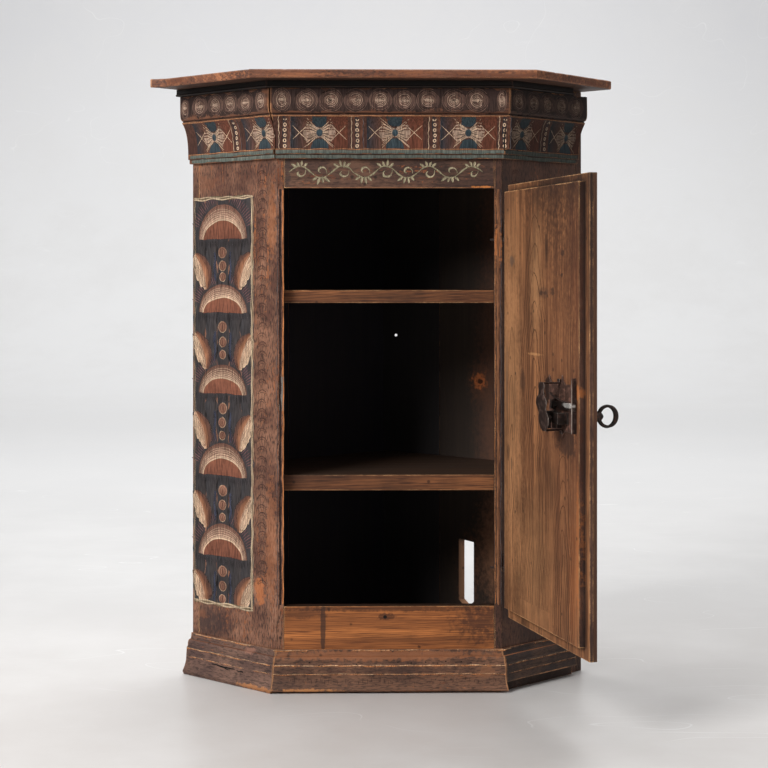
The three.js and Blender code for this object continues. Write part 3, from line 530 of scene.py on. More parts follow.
def fill_cover(w: Wiring, given: dict) -> dict:
    """Where old paint still covers the wood: clouds and rubbed specks above a level, less at the edges.

    Args:
        w: the wiring of the group's tree.
        given: the sockets of the group's inputs, by name.

    Returns:
        What the group puts out, by name.
    """
    vector = given["Vector"]
    cloud = w.noise(vector, scale=11, detail=5, rough=0.62)
    speck = w.noise(w.stretched(vector, 0.6, 1, 1), scale=300, detail=3, rough=0.6)
    rubbed = w.noise(w.stretched(vector, 9, 200, 200), detail=4, rough=0.6)
    value = w.weighted((cloud, 0.3), (speck, 0.36), (rubbed, 0.34))
    value = w.minus(value, w.times(given["Edge"], 0.3))
    level = w.between(given["Cover"], 0.64, 0.3)
    mask = w.rise(value, w.minus(level, 0.04), w.add(level, 0.04))
    return {"Mask": mask}


def fill_grime(w: Wiring, given: dict) -> dict:
    """Smoke and handling: broad dark clouds, drips along the grain and small dark spots.

    Args:
        w: the wiring of the group's tree.
        given: the sockets of the group's inputs, by name.

    Returns:
        What the group puts out, by name.
    """
    vector = given["Vector"]
    cloud = w.rise(w.noise(vector, scale=5, detail=5, rough=0.6), 0.42, 0.72)
    drip = w.rise(w.noise(w.stretched(vector, 3, 28, 28), detail=4), 0.48, 0.7)
    cells = w.node("TexVoronoi", {"Vector": vector, "Scale": 90.0})
    chosen = w.math("GREATER_THAN", w.parts(cells.outputs["Color"])[1], 0.93)
    spot = w.times(w.rise(cells.outputs["Distance"], 0.32, 0.12), chosen)
    mask = w.times(w.weighted((cloud, 0.6), (drip, 0.4)), given["Amount"])
    return {"Mask": w.math("MINIMUM", mask, 1.0), "Spot": spot}


def fill_bristle(w: Wiring, given: dict) -> dict:
    """A brush stroke: streaks along its length, thin edges, and gaps where the paint ran dry or wore off.

    Args:
        w: the wiring of the group's tree.
        given: the sockets of the group's inputs, by name.

    Returns:
        What the group puts out, by name.
    """
    along, across, _ = w.parts(given["Stroke"])
    stretched = {0: w.times(along, 90), 1: w.times(across, 7), 2: w.times(given["Mood"], 40)}
    streak = w.noise(w.node("CombineXYZ", stretched).outputs[0], detail=3, rough=0.6)
    grit = w.noise(given["Vector"], scale=420, detail=2)
    cloud = w.noise(given["Vector"], scale=26, detail=3)
    border = w.times(w.math("MINIMUM", across, w.minus(1, across)), 2)
    thin = w.times(w.rise(border, given["Fade"], 0.0), 0.45)
    value = w.weighted((streak, 0.45), (grit, 0.3), (cloud, 0.25))
    value = w.minus(value, thin)
    level = w.between(given["Dryness"], 0.2, 0.62)
    mask = w.rise(value, w.minus(level, 0.06), w.add(level, 0.06))
    return {"Mask": mask, "Streak": streak}


def fill_forged(w: Wiring, given: dict) -> dict:
    """Forged iron: shallow hammer marks, pits, and rust in clouds.

    Args:
        w: the wiring of the group's tree.
        given: the sockets of the group's inputs, by name.

    Returns:
        What the group puts out, by name.
    """
    vector = given["Vector"]
    marks = w.node("TexVoronoi", {"Vector": vector, "Scale": 130.0}, feature="SMOOTH_F1")
    pits = w.noise(vector, scale=1300, detail=3)
    rust = w.rise(w.noise(vector, scale=160, detail=5, rough=0.65), 0.5, 0.66)
    height = w.weighted((marks.outputs["Distance"], 0.7), (pits, 0.3))
    return {"Height": height, "Rust": w.times(rust, given["Rust"])}


def fill_patch(w: Wiring, given: dict) -> dict:
    """A spot about a centre: the distance in shares of its half sizes, made ragged by noise.

    Args:
        w: the wiring of the group's tree.
        given: the sockets of the group's inputs, by name.

    Returns:
        What the group puts out, by name.
    """
    away = w.node("VectorMath", {0: given["Place"], 1: given["Centre"]}, operation="SUBTRACT").outputs[0]
    shares = w.node("VectorMath", {0: away, 1: given["Half"]}, operation="DIVIDE").outputs[0]
    distance = w.node("VectorMath", {0: shares}, operation="LENGTH").outputs["Value"]
    cloud = w.noise(given["Place"], scale=140, detail=4, rough=0.65)
    distance = w.add(distance, w.times(w.minus(cloud, 0.5), w.times(given["Ragged"], 3)))
    return {"Mask": w.rise(distance, 1.1, w.minus(1.1, given["Soft"]))}


class Effects:
    """The node groups that more than one material uses, each built once."""

    def __init__(self) -> None:
        """Builds every group."""
        vector = {"Vector": None}
        self.grain = shader_group(
            "pine_grain", {**vector, "Ring Width": 0.005, "Swerve": 0.05, "Knots": 0.3},
            ("Ring", "Streak", "Fibre", "Knot", "Height"), fill_grain)
        self.wear = shader_group("rubbed_edges", {**vector, "Reach": 0.003}, ("Edge", "Hollow"), fill_wear)
        self.cover = shader_group("paint_left", {**vector, "Cover": 0.8, "Edge": 0.0}, ("Mask",), fill_cover)
        self.grime = shader_group("grime", {**vector, "Amount": 0.5}, ("Mask", "Spot"), fill_grime)
        self.bristle = shader_group(
            "bristle_marks", {**vector, "Stroke": None, "Mood": 0.5, "Dryness": 0.3, "Fade": 0.3},
            ("Mask", "Streak"), fill_bristle)
        self.patch = shader_group(
            "ragged_patch", {"Place": None, "Centre": None, "Half": None, "Ragged": 0.5, "Soft": 0.4},
            ("Mask",), fill_patch)
        self.forged = shader_group("forged_marks", {**vector, "Rust": 0.5}, ("Height", "Rust"), fill_forged)


effects = Effects()


# Finishes


class Grain(Enum):
    """Which way a board's grain runs, and which way its width runs."""

    LEVEL_FRONT = ((1, 0, 0), (0, 0, 1))
    LEVEL_FLAT = ((1, 0, 0), (0, 1, 0))
    UPRIGHT_RIGHT_CANT = ((0, 0, 1), (HALF_ROOT, HALF_ROOT, 0))
    UPRIGHT_LEFT_CANT = ((0, 0, 1), (-HALF_ROOT, HALF_ROOT, 0))
    LEVEL_RIGHT_CANT = ((HALF_ROOT, HALF_ROOT, 0), (0, 0, 1))
    LEVEL_LEFT_CANT = ((-HALF_ROOT, HALF_ROOT, 0), (0, 0, 1))
    UPRIGHT_DOOR = ((0, 0, 1), DOOR_ALONG)
    LEVEL_DOOR = (DOOR_ALONG, (0, 0, 1))

    def turn(self) -> Place:
        """The Euler angles that bring the grain onto X and the width onto Y."""
        along, across = (Vector(side) for side in self.value)
        return tuple(Matrix((along, across, along.cross(across))).to_euler("XYZ"))


def board_vector(w: Wiring, grain: Grain, seed: int) -> Socket:
    """The place on a board, with X along its grain, moved by a step that the seed picks.

    Args:
        w: the wiring of the material's tree.
        grain: which way the grain runs.
        seed: picks the step.

    Returns:
        The place, as a vector.
    """
    place = w.place()
    step = tuple(float(value) for value in np.random.default_rng(seed).uniform(1, 9, 3))
    return w.node("Mapping", {"Vector": place, "Rotation": grain.turn(), "Location": step}).outputs[0]


def new_material(name: str) -> tuple[bpy.types.Material, Wiring, bpy.types.Node]:
    """A material with only its Principled shader, and the wiring of its tree.

    Args:
        name: the material's name.

    Returns:
        The material, the wiring of its tree and its shader.
    """
    made = bpy.data.materials.new(name)
    made.use_nodes = True
    return made, Wiring(made.node_tree), made.node_tree.nodes["Principled BSDF"]


def facing(w: Wiring, directions: Sequence[Place]) -> Socket:
    """1 on surfaces that look along one of the directions, and 0 on the others.

    Args:
        w: the wiring of the material's tree.
        directions: the directions, each of length 1.

    Returns:
        The mask.
    """
    true = w.node("NewGeometry").outputs["True Normal"]
    turned = w.node("VectorTransform", {0: true}, vector_type="NORMAL", convert_from="WORLD",
                    convert_to="OBJECT")
    normal = turned.outputs[0]
    best: object = 0.0
    for direction in directions:
        share = w.node("VectorMath", {0: normal, 1: direction}, operation="DOT_PRODUCT").outputs["Value"]
        best = w.math("MAXIMUM", best, share)
    return w.rise(best, 0.35, 0.55)


@dataclass(frozen=True)
class Patch:
    """A ragged spot of another colour on a board: a knot, a stain, or where the paint has gone."""

    centre: Place
    half: Place
    colour: Colour
    strength: float = 0.85
    ragged: float = 0.5
    soft: float = 0.4

    def over(self, w: Wiring, colour: Socket, share: object = 1.0) -> Socket:
        """Lays the spot over a colour.

        Args:
            w: the wiring of the material's tree.
            colour: the colour below.
            share: how much of the spot shows.

        Returns:
            The colour with the spot on it.
        """
        place = w.place()
        mask = w.use(effects.patch, {"Place": place, "Centre": self.centre, "Half": self.half,
                                     "Ragged": self.ragged, "Soft": self.soft}).outputs["Mask"]
        return w.mix(w.times(w.times(mask, self.strength), share), colour, self.colour)


@dataclass(frozen=True)
class OldPaint:
    """A thin coat of distemper, worn through in places, on the faces that look along its sides."""

    dark: Colour
    light: Colour
    sides: tuple[Place, ...]
    cover: float = 0.75
    hatch: float = 0.35


@dataclass(frozen=True)
class Pine:
    """Old pine, bare or under a coat of paint, and darkened on the faces that don't show: smoke, and painted
    shade.
    """

    light: Colour = (164, 110, 70)
    dark: Colour = (104, 62, 40)
    rubbed: Colour = (208, 160, 112)
    dirt_and_shade: Colour = (30, 22, 19)
    paint: OldPaint | None = None
    clean: tuple[Place, ...] = ()
    smoke_and_shade: Colour | None = None
    smoke_and_shade_share: float = 0.94
    patches: tuple[Patch, ...] = ()
    late_patches: tuple[Patch, ...] = ()
    streak_share: float = 1.0
    fibre_share: float = 0.45
    ring_width: float = 0.0048
    ring_share: float = 0.75
    swerve: float = 0.05
    knots: float = 0.3
    grime: float = 0.5
    reach: float = 0.0024
    edge: float = 0.8
    relief: float = 0.00025

    def wood(self, w: Wiring, vector: Socket) -> tuple[Socket, bpy.types.NodeOutputs]:
        """The bare wood's colour, and the outputs of its grain.

        Args:
            w: the wiring of the material's tree.
            vector: the place on the board.

        Returns:
            The colour, and the outputs.
        """
        grain = w.use(effects.grain, {"Vector": vector, "Ring Width": self.ring_width,
                                      "Swerve": self.swerve, "Knots": self.knots}).outputs
        colour = w.stain(self.light, self.dark, w.rise(grain["Streak"], 0.36, 0.64), self.streak_share)
        colour = w.stain(colour, self.dark, grain["Ring"], self.ring_share)
        colour = w.stain(colour, self.dark, w.rise(grain["Fibre"], 0.47, 0.66), self.fibre_share)
        return w.mix(grain["Knot"], colour, self.dirt_and_shade), grain

    def coat(self, w: Wiring, vector: Socket, wood: Socket, ring: Socket, edge: Socket) -> Socket:
        """The paint over the wood.

        Args:
            w: the wiring of the material's tree.
            vector: the place on the board.
            wood: the bare wood's colour.
            ring: the mask of the growth rings.
            edge: the mask of the rubbed arrises.

        Returns:
            The colour of the painted wood.
        """
        cover = w.use(effects.cover, {"Vector": vector, "Cover": self.paint.cover, "Edge": edge})
        left = cover.outputs["Mask"]
        left = w.times(left, facing(w, self.paint.sides))
        tone = w.noise(vector, scale=16, detail=5, rough=0.65)
        coat = w.mix(w.rise(tone, 0.36, 0.64), self.paint.dark, self.paint.light)
        hatch = w.rise(w.noise(w.stretched(vector, 120, 560, 560), detail=3), 0.48, 0.62)
        coat = w.stain(coat, self.dirt_and_shade, hatch, self.paint.hatch)
        coat = w.stain(coat, self.dirt_and_shade, ring, 0.25)
        return w.mix(left, wood, coat)

    def material(self, name: str, grain: Grain, seed: int) -> bpy.types.Material:
        """Builds the finish for one board.

        Args:
            name: the material's name.
            grain: which way the board's grain runs.
            seed: picks the place in the pattern, so that no two boards are alike.

        Returns:
            The material.
        """
        made, w, shader = new_material(name)
        vector = board_vector(w, grain, seed)
        worn = w.use(effects.wear, {"Vector": vector, "Reach": self.reach}).outputs
        grime = w.use(effects.grime, {"Vector": vector, "Amount": self.grime}).outputs
        colour, fibres = self.wood(w, vector)
        if self.paint:
            colour = self.coat(w, vector, colour, fibres["Ring"], worn["Edge"])
        for patch in self.patches:
            colour = patch.over(w, colour)
        colour = w.mix(grime["Mask"], colour, self.dirt_and_shade)
        colour = w.stain(colour, self.dirt_and_shade, grime["Spot"], 0.7)
        colour = w.stain(colour, self.rubbed, worn["Edge"], self.edge)
        # Darker in hollows: dirt, and painted shade.
        colour = w.stain(colour, self.dirt_and_shade, worn["Hollow"], 0.85)
        # Faces that look along none of the undarkened sides take the darker tone: smoke, and painted shade
        # of the unlit inside and undersides.
        if self.smoke_and_shade:
            hidden = w.minus(1, facing(w, self.clean))
            colour = w.stain(colour, self.smoke_and_shade, hidden, self.smoke_and_shade_share)
        for patch in self.late_patches:
            colour = patch.over(w, colour, hidden)
        height = w.add(fibres["Height"], w.times(w.noise(vector, scale=30, detail=3), 1.5))
        bump = w.node("Bump", {"Strength": 0.8, "Distance": self.relief, "Height": height})
        w.feed_all(shader, {"Base Color": colour, "Roughness": w.between(fibres["Streak"], 0.45, 0.7),
                            "Specular IOR Level": 0.2, "Normal": bump.outputs[0]})
        return made


@dataclass(frozen=True)
class Iron:
    """Forged iron, dark with age, brighter where it rubs."""

    base: Colour = (58, 50, 47)
    rust_tone: Colour = (84, 50, 36)
    rubbed: Colour = (150, 140, 132)
    rust: float = 0.7
    rough: float = 0.48
    reach: float = 0.0007
    # Painted highlights and painted shade laid over the colour.
    glints: tuple[Patch, ...] = ()

    def material(self, name: str) -> bpy.types.Material:
        """Builds the finish.

        Args:
            name: the material's name.

        Returns:
            The material.
        """
        made, w, shader = new_material(name)
        vector = w.place()
        marks = w.use(effects.forged, {"Vector": vector, "Rust": self.rust}).outputs
        worn = w.use(effects.wear, {"Vector": vector, "Reach": self.reach}).outputs
        colour = w.mix(marks["Rust"], self.base, self.rust_tone)
        colour = w.stain(colour, self.rubbed, worn["Edge"], 0.55)
        # Darker in hollows: oxide, and painted shade.
        colour = w.stain(colour, (22, 17, 15), worn["Hollow"], 0.7)
        for glint in self.glints:
            colour = glint.over(w, colour)
        bump = w.node("Bump", {"Strength": 0.6, "Distance": 0.0004, "Height": marks["Height"]})
        w.feed_all(shader, {"Base Color": colour, "Metallic": w.between(marks["Rust"], 0.85, 0.1),
                            "Roughness": w.between(marks["Rust"], self.rough, 0.85),
                            "Normal": bump.outputs[0]})
        return made


@dataclass(frozen=True)
class BrushPaint:
    """Paint laid on in strokes: one colour at the stroke's left edge, another at its right."""

    left: Colour
    right: Colour
    dryness: float = 0.35
    fade: float = 0.3
    grime: float = 0.3
    light: float = 1.0

    def material(self, name: str) -> bpy.types.Material:
        """Builds the finish, with its two colours dimmed by its light share, as painted shade where that is
        below 1.

        Args:
            name: the material's name.

        Returns:
            The material.
        """
        made, w, shader = new_material(name)
        left, right = ((*(self.light * part for part in linear_colour(side)), 1)
                       for side in (self.left, self.right))
        place = w.place()
        stroke = w.node("UVMap", uv_map="stroke").outputs[0]
        mood = w.node("Attribute", attribute_name="mood", attribute_type="GEOMETRY").outputs["Fac"]
        marks = w.use(effects.bristle, {"Vector": place, "Stroke": stroke, "Mood": mood,
                                        "Dryness": self.dryness, "Fade": self.fade}).outputs
        grime = w.use(effects.grime, {"Vector": place, "Amount": self.grime}).outputs
        hair = w.noise(w.stretched(place, 640, 640, 60), detail=2)
        colour = w.mix(w.parts(stroke)[1], left, right)
        shade = w.times(w.between(mood, 0.8, 1.12), w.between(marks["Streak"], 0.75, 1.2))
        shade = w.times(shade, w.between(w.rise(hair, 0.32, 0.68), 0.6, 1.3))
        bright = w.node("CombineColor", {0: shade, 1: shade, 2: shade}).outputs[0]
        colour = w.mix(1.0, colour, bright, way="MULTIPLY")
        colour = w.mix(grime["Mask"], colour, (34, 26, 23))
        bump = w.node("Bump", {"Strength": 0.5, "Distance": 0.0001, "Height": marks["Streak"]})
        w.feed_all(shader, {"Base Color": colour, "Alpha": marks["Mask"], "Roughness": 0.6,
                            "Specular IOR Level": 0.12, "Normal": bump.outputs[0]})
        return made


# Pieces


BODY_OF = {node: body for body, nodes in frame["record"]["behaviour"]["bodies"].items() for node in nodes}


def corners(node: str) -> np.ndarray:
    """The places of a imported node's vertices.

    Args:
        node: the node's name.

    Returns:
        The places, vertices by 3.
    """
    mesh = frame["nodes"][node].data
    places = np.zeros(len(mesh.vertices) * 3, dtype=np.float32)
    mesh.vertices.foreach_get("co", places)
    return places.reshape(-1, 3).astype(float)


def span(node: str, origin: Sequence[float], direction: Sequence[float]) -> tuple[float, float]:
    """How far a node reaches along a direction, measured from an origin."""
    measure = (corners(node) - np.array(origin)) @ np.array(direction, dtype=float)
    return float(measure.min()), float(measure.max())


def adopt(piece: bpy.types.Object, like: str, material: bpy.types.Material,
          stands_for: bool = False) -> None:
    """Gives a new piece its material, and the body and material slot of a node.

    Args:
        piece: the new object.
        like: the node whose body it rides on.
        material: its finish.
        stands_for: whether it is shown in that node's place.
    """
    piece.data.materials.clear()
    piece.data.materials.append(material)
    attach(piece, BODY_OF[like])
    if stands_for:
        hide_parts(like)
    log.info("%s: %d faces, on %s", piece.name, len(piece.data.polygons), BODY_OF[like])


def soften(node: str, width: float, flat: bool = False) -> bpy.types.Object:
    """A copy of a node with its loose triangles joined into faces and its arrises eased by a bevel.

    Args:
        node: the node.
        width: how wide the bevel is.
        flat: whether it is a sawn board: shaded flat, and in triangles, so that the bevel keeps its broad
            faces whole round their holes.

    Returns:
        The copy.
    """
    name = node + "_eased"
    mesh = frame["nodes"][node].data.copy()
    mesh.name = name
    shape = bmesh.new()
    shape.from_mesh(mesh)
    bmesh.ops.remove_doubles(shape, verts=shape.verts, dist=SAME_PLACE)
    level = math.radians(LEVEL_DEG)
    bmesh.ops.dissolve_limit(shape, angle_limit=level, verts=shape.verts, edges=shape.edges)
    if flat:
        bmesh.ops.triangulate(shape, faces=shape.faces)
    shape.to_mesh(mesh)
    shape.free()
    if flat:
        mesh.shade_flat()
    else:
        mesh.shade_smooth()
        mesh.set_sharp_from_angle(angle=math.radians(SHARP_DEG))
    made = shown(name, mesh)
    bevel = made.modifiers.new("eased", "BEVEL")
    bevel.width = width
    bevel.segments = 2
    bevel.limit_method = "ANGLE"
    bevel.angle_limit = math.radians(SHARP_DEG)
    bevel.harden_normals = not flat
    return made


def dress(node: str, width: float, material: bpy.types.Material, flat: bool = False) -> None:
    """Shows a node with eased arrises, a bevel of this width, and its own finish."""
    adopt(soften(node, width, flat), node, material, stands_for=True)


@dataclass(frozen=True)
class Face:
    """A flat or moulded face: places on it are along to the looker's right, height and lift."""

    origin: Place
    along: Place
    out: Place
    reach: Callable[[np.ndarray], np.ndarray] | None = None
    seed: int = 0
    unevenness: float = 0.0
    wave: float = 0.25

    def stand(self, along: np.ndarray, height: np.ndarray) -> np.ndarray:
        """How far the face stands out: its moulding's reach, plus a slow unevenness."""
        base = self.reach(height) if self.reach else np.zeros_like(height)
        return base + drift(along, self.seed, self.unevenness, self.wave)

    def place(self, along: np.ndarray, height: np.ndarray, lift: np.ndarray | float = 0.0) -> np.ndarray:
        """The place in space: the origin, plus each of the three measures along its own direction.

        Args:
            along: the measures along the face.
            height: the heights.
            lift: how far off the face they are.

        Returns:
            The places.
        """
        out = self.stand(along, height) + lift
        parts = (along[..., None] * np.array(self.along), height[..., None] * UP,
                 out[..., None] * np.array(self.out))
        return np.array(self.origin) + sum(parts)

    def point(self, along: float, height: float) -> Place:
        """One place on the face."""
        return tuple(self.place(np.array([along]), np.array([height]))[0])

    def spots(self, *rows: tuple) -> tuple[Patch, ...]:
        """Ragged spots, each given as along, height and the rest of a patch."""
        return tuple(Patch(self.point(*row[:2]), *row[2:]) for row in rows)


@dataclass
class Plan:
    """The cupboard's plan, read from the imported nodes."""

    strip_width: float = 0.0109
    front: float = field(init=False)
    half_opening: float = field(init=False)
    half_front: float = field(init=False)
    depth: float = field(init=False)

    def __post_init__(self) -> None:
        """Reads the rails' and the side boards' places."""
        self.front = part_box("bottom_rail")[0].y
        self.half_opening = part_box("side_board_right")[0].x
        self.half_front = self.half_opening + self.strip_width
        self.depth = span("side_board_right", (self.half_front, self.front, 0), (HALF_ROOT, HALF_ROOT, 0))[1]

    def front_face(self, **settings: object) -> Face:
        """The front, measured from its middle."""
        return Face((0, self.front, 0), (1, 0, 0), FRONT_OUT, **settings)

    def side_face(self, side: int, **settings: object) -> Face:
        """A canted side, measured from its front corner: side is 1 on the right, -1 on the left.

        Args:
            side: the side it is on.
            settings: further fields of the face.

        Returns:
            The face.
        """
        origin = (side * self.half_front, self.front, 0)
        return Face(origin, (HALF_ROOT, side * HALF_ROOT, 0), RIGHT_OUT if side > 0 else LEFT_OUT,
                    **settings)

    def door_face(self) -> Face:
        """The door's outer face, as it stands open, measured from the hinge side, which is to the right.

        Returns:
            The face.
        """
        out = span("door_board", (0, 0, 0), DOOR_OUT)[1]
        hinge = span("door_board", (0, 0, 0), DOOR_ALONG)[0]
        origin = np.array(DOOR_OUT) * out + np.array(DOOR_ALONG) * hinge
        return Face(tuple(origin), tuple(-np.array(DOOR_ALONG)), DOOR_OUT)


# Painted ornament


@dataclass
class Brush:
    """Lays strokes of one paint on one face, and makes them one piece of thin closed ribbons."""

    name: str
    face: Face
    lift: float
    seed: int
    sink: float = 0.0003
    step: float = 0.004
    facet: float = 0.0022
    parts: list[tuple[np.ndarray, np.ndarray]] = field(default_factory=list)
    marks: list[np.ndarray] = field(default_factory=list)

    def __post_init__(self) -> None:
        """Gives the hand its own seed."""
        self.hand = np.random.default_rng(self.seed)

    def stroke(self, path: np.ndarray, left: np.ndarray | float, right: np.ndarray | float | None = None,
               tremor: float = 0.0004, across: int = 3) -> None:
        """One stroke along a path.

        A station's points are the path's point plus the side direction times a width that goes from the
        left edge to the right one, so the stroke is a function of the way along and the way across.

        Args:
            path: points of along and height.
            left: the width on the left of the path, at each point.
            right: the width on its right, or none for the same.
            tremor: how far the hand shakes.
            across: how many points lie across.
        """
        count = len(path)
        knots = np.linspace(0, 1, max(count // 4, 3))
        share = np.linspace(0, 1, count)
        shake = [np.interp(share, knots, self.hand.normal(0, tremor, len(knots))) for _ in range(2)]
        path = np.asarray(path) + np.stack(shake, axis=1)
        ahead = np.gradient(path, axis=0)
        ahead /= np.maximum(np.linalg.norm(ahead, axis=1, keepdims=True), 1e-9)
        side = paired(-ahead[:, 1], ahead[:, 0])
        left = np.broadcast_to(np.asarray(left, dtype=float), (count,))
        right = left if right is None else np.broadcast_to(np.asarray(right, dtype=float), (count,))
        if self.face.reach:
            across = max(across, int((left + right).max() / self.facet) + 2)
        way = np.linspace(0, 1, across)
        offset = left[:, None] * (1 - way) - right[:, None] * way
        spread = path[:, None, :] + side[:, None, :] * offset[..., None]
        top = self.face.place(spread[..., 0], spread[..., 1], self.lift)
        bottom = self.face.place(spread[..., 0], spread[..., 1], -self.sink)
        length = np.concatenate([[0], np.cumsum(np.linalg.norm(np.diff(path, axis=0), axis=1))])
        mood = np.full((count, across), self.hand.random())
        marks = np.stack([*np.meshgrid(length, way, indexing="ij"), mood], axis=-1)
        self.parts.append(closed_slab(top, bottom))
        self.marks.append(np.tile(marks.reshape(-1, 3), (2, 1)))

    def line(self, start: Sequence[float], end: Sequence[float], width: float, points: int = 6) -> None:
        """A straight stroke, thin at both ends.

        Args:
            start: where it starts on the face.
            end: where it ends.
            width: its greatest breadth.
            points: how many points its path has.
        """
        share = np.linspace(0, 1, points)[:, None]
        path = np.array(start) * (1 - share) + np.array(end) * share
        self.stroke(path, width / 2 * (0.35 + 0.65 * np.sin(math.pi * share[:, 0]) ** 0.5))

    def long_stroke(self, ends: Sequence[float], middle: float, width: float, wave: float, pitch: float,
                    upright: bool) -> None:
        """A stroke of uneven width that follows a sine: level, or upright and drawn from below.

        Args:
            ends: where it starts and ends on its way.
            middle: the place of its middle line across that way.
            width: its mean breadth.
            wave: the reach of the sine.
            pitch: the length of the sine.
            upright: whether it runs upright.
        """
        way = np.linspace(*ends, max(int((ends[1] - ends[0]) / self.step), 8))
        bend = middle + wave * np.sin(way * 2 * math.pi / pitch + self.hand.uniform(0, 6))
        thick = width / 2 * (1 + 0.25 * drift(way, int(self.hand.integers(99)), 1.0, 0.05))
        self.stroke(paired(bend, way) if upright else paired(way, bend), thick)

    def level(self, low: float, high: float, height: float, width: float, wave: float = 0.0,
              pitch: float = 0.03) -> None:
        """A long level stroke, with a wave if asked."""
        self.long_stroke((low, high), height, width, wave, pitch, False)

    def upright(self, along: float, low: float, high: float, width: float, wave: float = 0.0,
                pitch: float = 0.03) -> None:
        """A long upright stroke, with a wave if asked."""
        self.long_stroke((low, high), along, width, wave, pitch, True)

    def disc(self, centre: Sequence[float], half_width: float, half_height: float, points: int = 15) -> None:
        """A filled oval: a stroke across it whose width follows the circle's.

        Args:
            centre: its middle on the face.
            half_width: half its size along the face.
            half_height: half its size upright.
            points: how many points its path has.
        """
        share = np.linspace(-0.985, 0.985, points)
        path = paired(centre[0] + share * half_width, centre[1])
        self.stroke(path, half_height * np.sqrt(1 - share**2), tremor=0.0002, across=5)

    def ring(self, centre: Sequence[float], half_width: float, half_height: float, width: float,
             turns: float = 1.02, points: int = 24) -> None:
        """An oval outline, or a part of one.

        Args:
            centre: its middle on the face.
            half_width: half its size along the face.
            half_height: half its size upright.
            width: the breadth of its line.
            turns: how many times it goes round.
            points: how many points its path has.
        """
        turn = np.linspace(0, 2 * math.pi * turns, points) + self.hand.uniform(0, 6)
        path = paired(centre[0] + half_width * np.cos(turn), centre[1] + half_height * np.sin(turn))
        self.stroke(path, width / 2, tremor=0.0002)

    def finish(self, like: str, paint: BrushPaint) -> None:
        """Makes the piece, with its stroke coordinates, and puts it on the body of a node.

        Args:
            like: the node.
            paint: its paint.
        """
        places, faces = merged(self.parts)
        made = new_mesh(self.name, places, faces, sharp_deg=STROKE_SHARP_DEG)
        marks = np.concatenate(self.marks)
        mesh = made.data
        loops = np.zeros(len(mesh.loops), dtype=np.int32)
        mesh.loops.foreach_get("vertex_index", loops)
        layer = mesh.uv_layers.new(name="stroke")
        layer.data.foreach_set("uv", marks[loops, :2].astype(np.float32).ravel())
        mood = mesh.attributes.new("mood", "FLOAT", "POINT")
        mood.data.foreach_set("value", marks[:, 2].astype(np.float32))
        adopt(made, like, paint.material(self.name))


class Palette:
    """The paints that the ornament is laid in."""

    ground = BrushPaint((54, 52, 54), (62, 56, 55), 0.2, 0.02)
    glow = BrushPaint((58, 62, 80), (54, 54, 64), 0.5, 0.9)
    halo = BrushPaint((118, 74, 54), (60, 52, 50), 0.34, 0.9)
    band = BrushPaint((168, 132, 112), (106, 72, 60), 0.22, 0.12)
    cream = BrushPaint((220, 192, 164), (196, 164, 134), 0.42, 0.5)
    tint = BrushPaint((134, 84, 64), (120, 74, 58), 0.26, 0.2)
    bead = BrushPaint((140, 102, 84), (122, 86, 70), 0.24, 0.2)
    eye = BrushPaint((100, 62, 48), (88, 54, 44), 0.34, 0.3)
    shade = BrushPaint((30, 28, 30), (36, 33, 34), 0.34, 0.5)
    wing_pale = BrushPaint((212, 180, 150), (164, 122, 96), 0.28, 0.12)
    wing_warm = BrushPaint((172, 118, 86), (92, 60, 48), 0.28, 0.5)
    border = BrushPaint((206, 184, 154), (182, 156, 128), 0.44, 0.5)
    sedge = BrushPaint((112, 100, 78), (120, 98, 76), 0.36, 0.3)
    slate = BrushPaint((50, 37, 34), (58, 43, 38), 0.16, 0.05)
    rose = BrushPaint((90, 68, 59), (76, 56, 50), 0.26, 0.5)
    chalk = BrushPaint((186, 160, 140), (168, 140, 120), 0.42, 0.4)
    night = BrushPaint((38, 44, 50), (104, 66, 48), 0.16, 0.03)
    russet = BrushPaint((92, 56, 44), (104, 60, 44), 0.16, 0.03)
    sand = BrushPaint((166, 142, 124), (148, 122, 104), 0.22, 0.7)
    teal = BrushPaint((58, 70, 74), (48, 58, 64), 0.24, 0.3)
    umber = BrushPaint((50, 34, 30), (46, 32, 29), 0.4, 0.8)
    reed = BrushPaint((104, 106, 97), (84, 92, 86), 0.16, 0.1)
    sage = BrushPaint((160, 150, 120), (128, 122, 98), 0.44, 0.4)
    dusk = BrushPaint((98, 92, 92), (84, 78, 80), 0.5, 0.5)
    ember = BrushPaint((184, 112, 66), (200, 134, 84), 0.52, 0.4)
    arris = BrushPaint((226, 190, 152), (196, 150, 110), 0.56, 0.5)
    comb = BrushPaint((66, 44, 37), (76, 52, 43), 0.46, 0.6)
    hair = BrushPaint((42, 38, 40), (50, 45, 46), 0.36, 0.5)


@dataclass
class Ornament:
    """A painted motif on one face: hands out brushes, and finishes them when the motif is laid.

    It lies on the face of the node that it is like, its brushes' seeds follow its own, and its light share
    dims them: painted shade.
    """

    name: str
    face: Face
    like: str
    seed: int
    light: float = field(default=1.0, kw_only=True)
    brushes: list[tuple[Brush, BrushPaint]] = field(default_factory=list, kw_only=True)
    first_lift: float = field(default=0.00004, kw_only=True)
    layer_lift: float = field(default=0.00002, kw_only=True)

    def brush(self, part: str, paint: BrushPaint, layer: int) -> Brush:
        """A brush with one paint: each layer stands a little higher than the one under it.

        Args:
            part: what the brush lays, for the piece's name.
            paint: its paint.
            layer: the number of its layer, counted from the face.

        Returns:
            The brush.
        """
        self.seed += 1
        lift = self.first_lift + self.layer_lift * layer
        made = Brush(f"{self.name}_{part}", self.face, lift, self.seed)
        self.brushes.append((made, replace(paint, light=self.light)))
        return made

    def dry(self) -> None:
        """Makes a piece of each brush that was used."""
        for brush, paint in self.brushes:
            if brush.parts:
                brush.finish(self.like, paint)


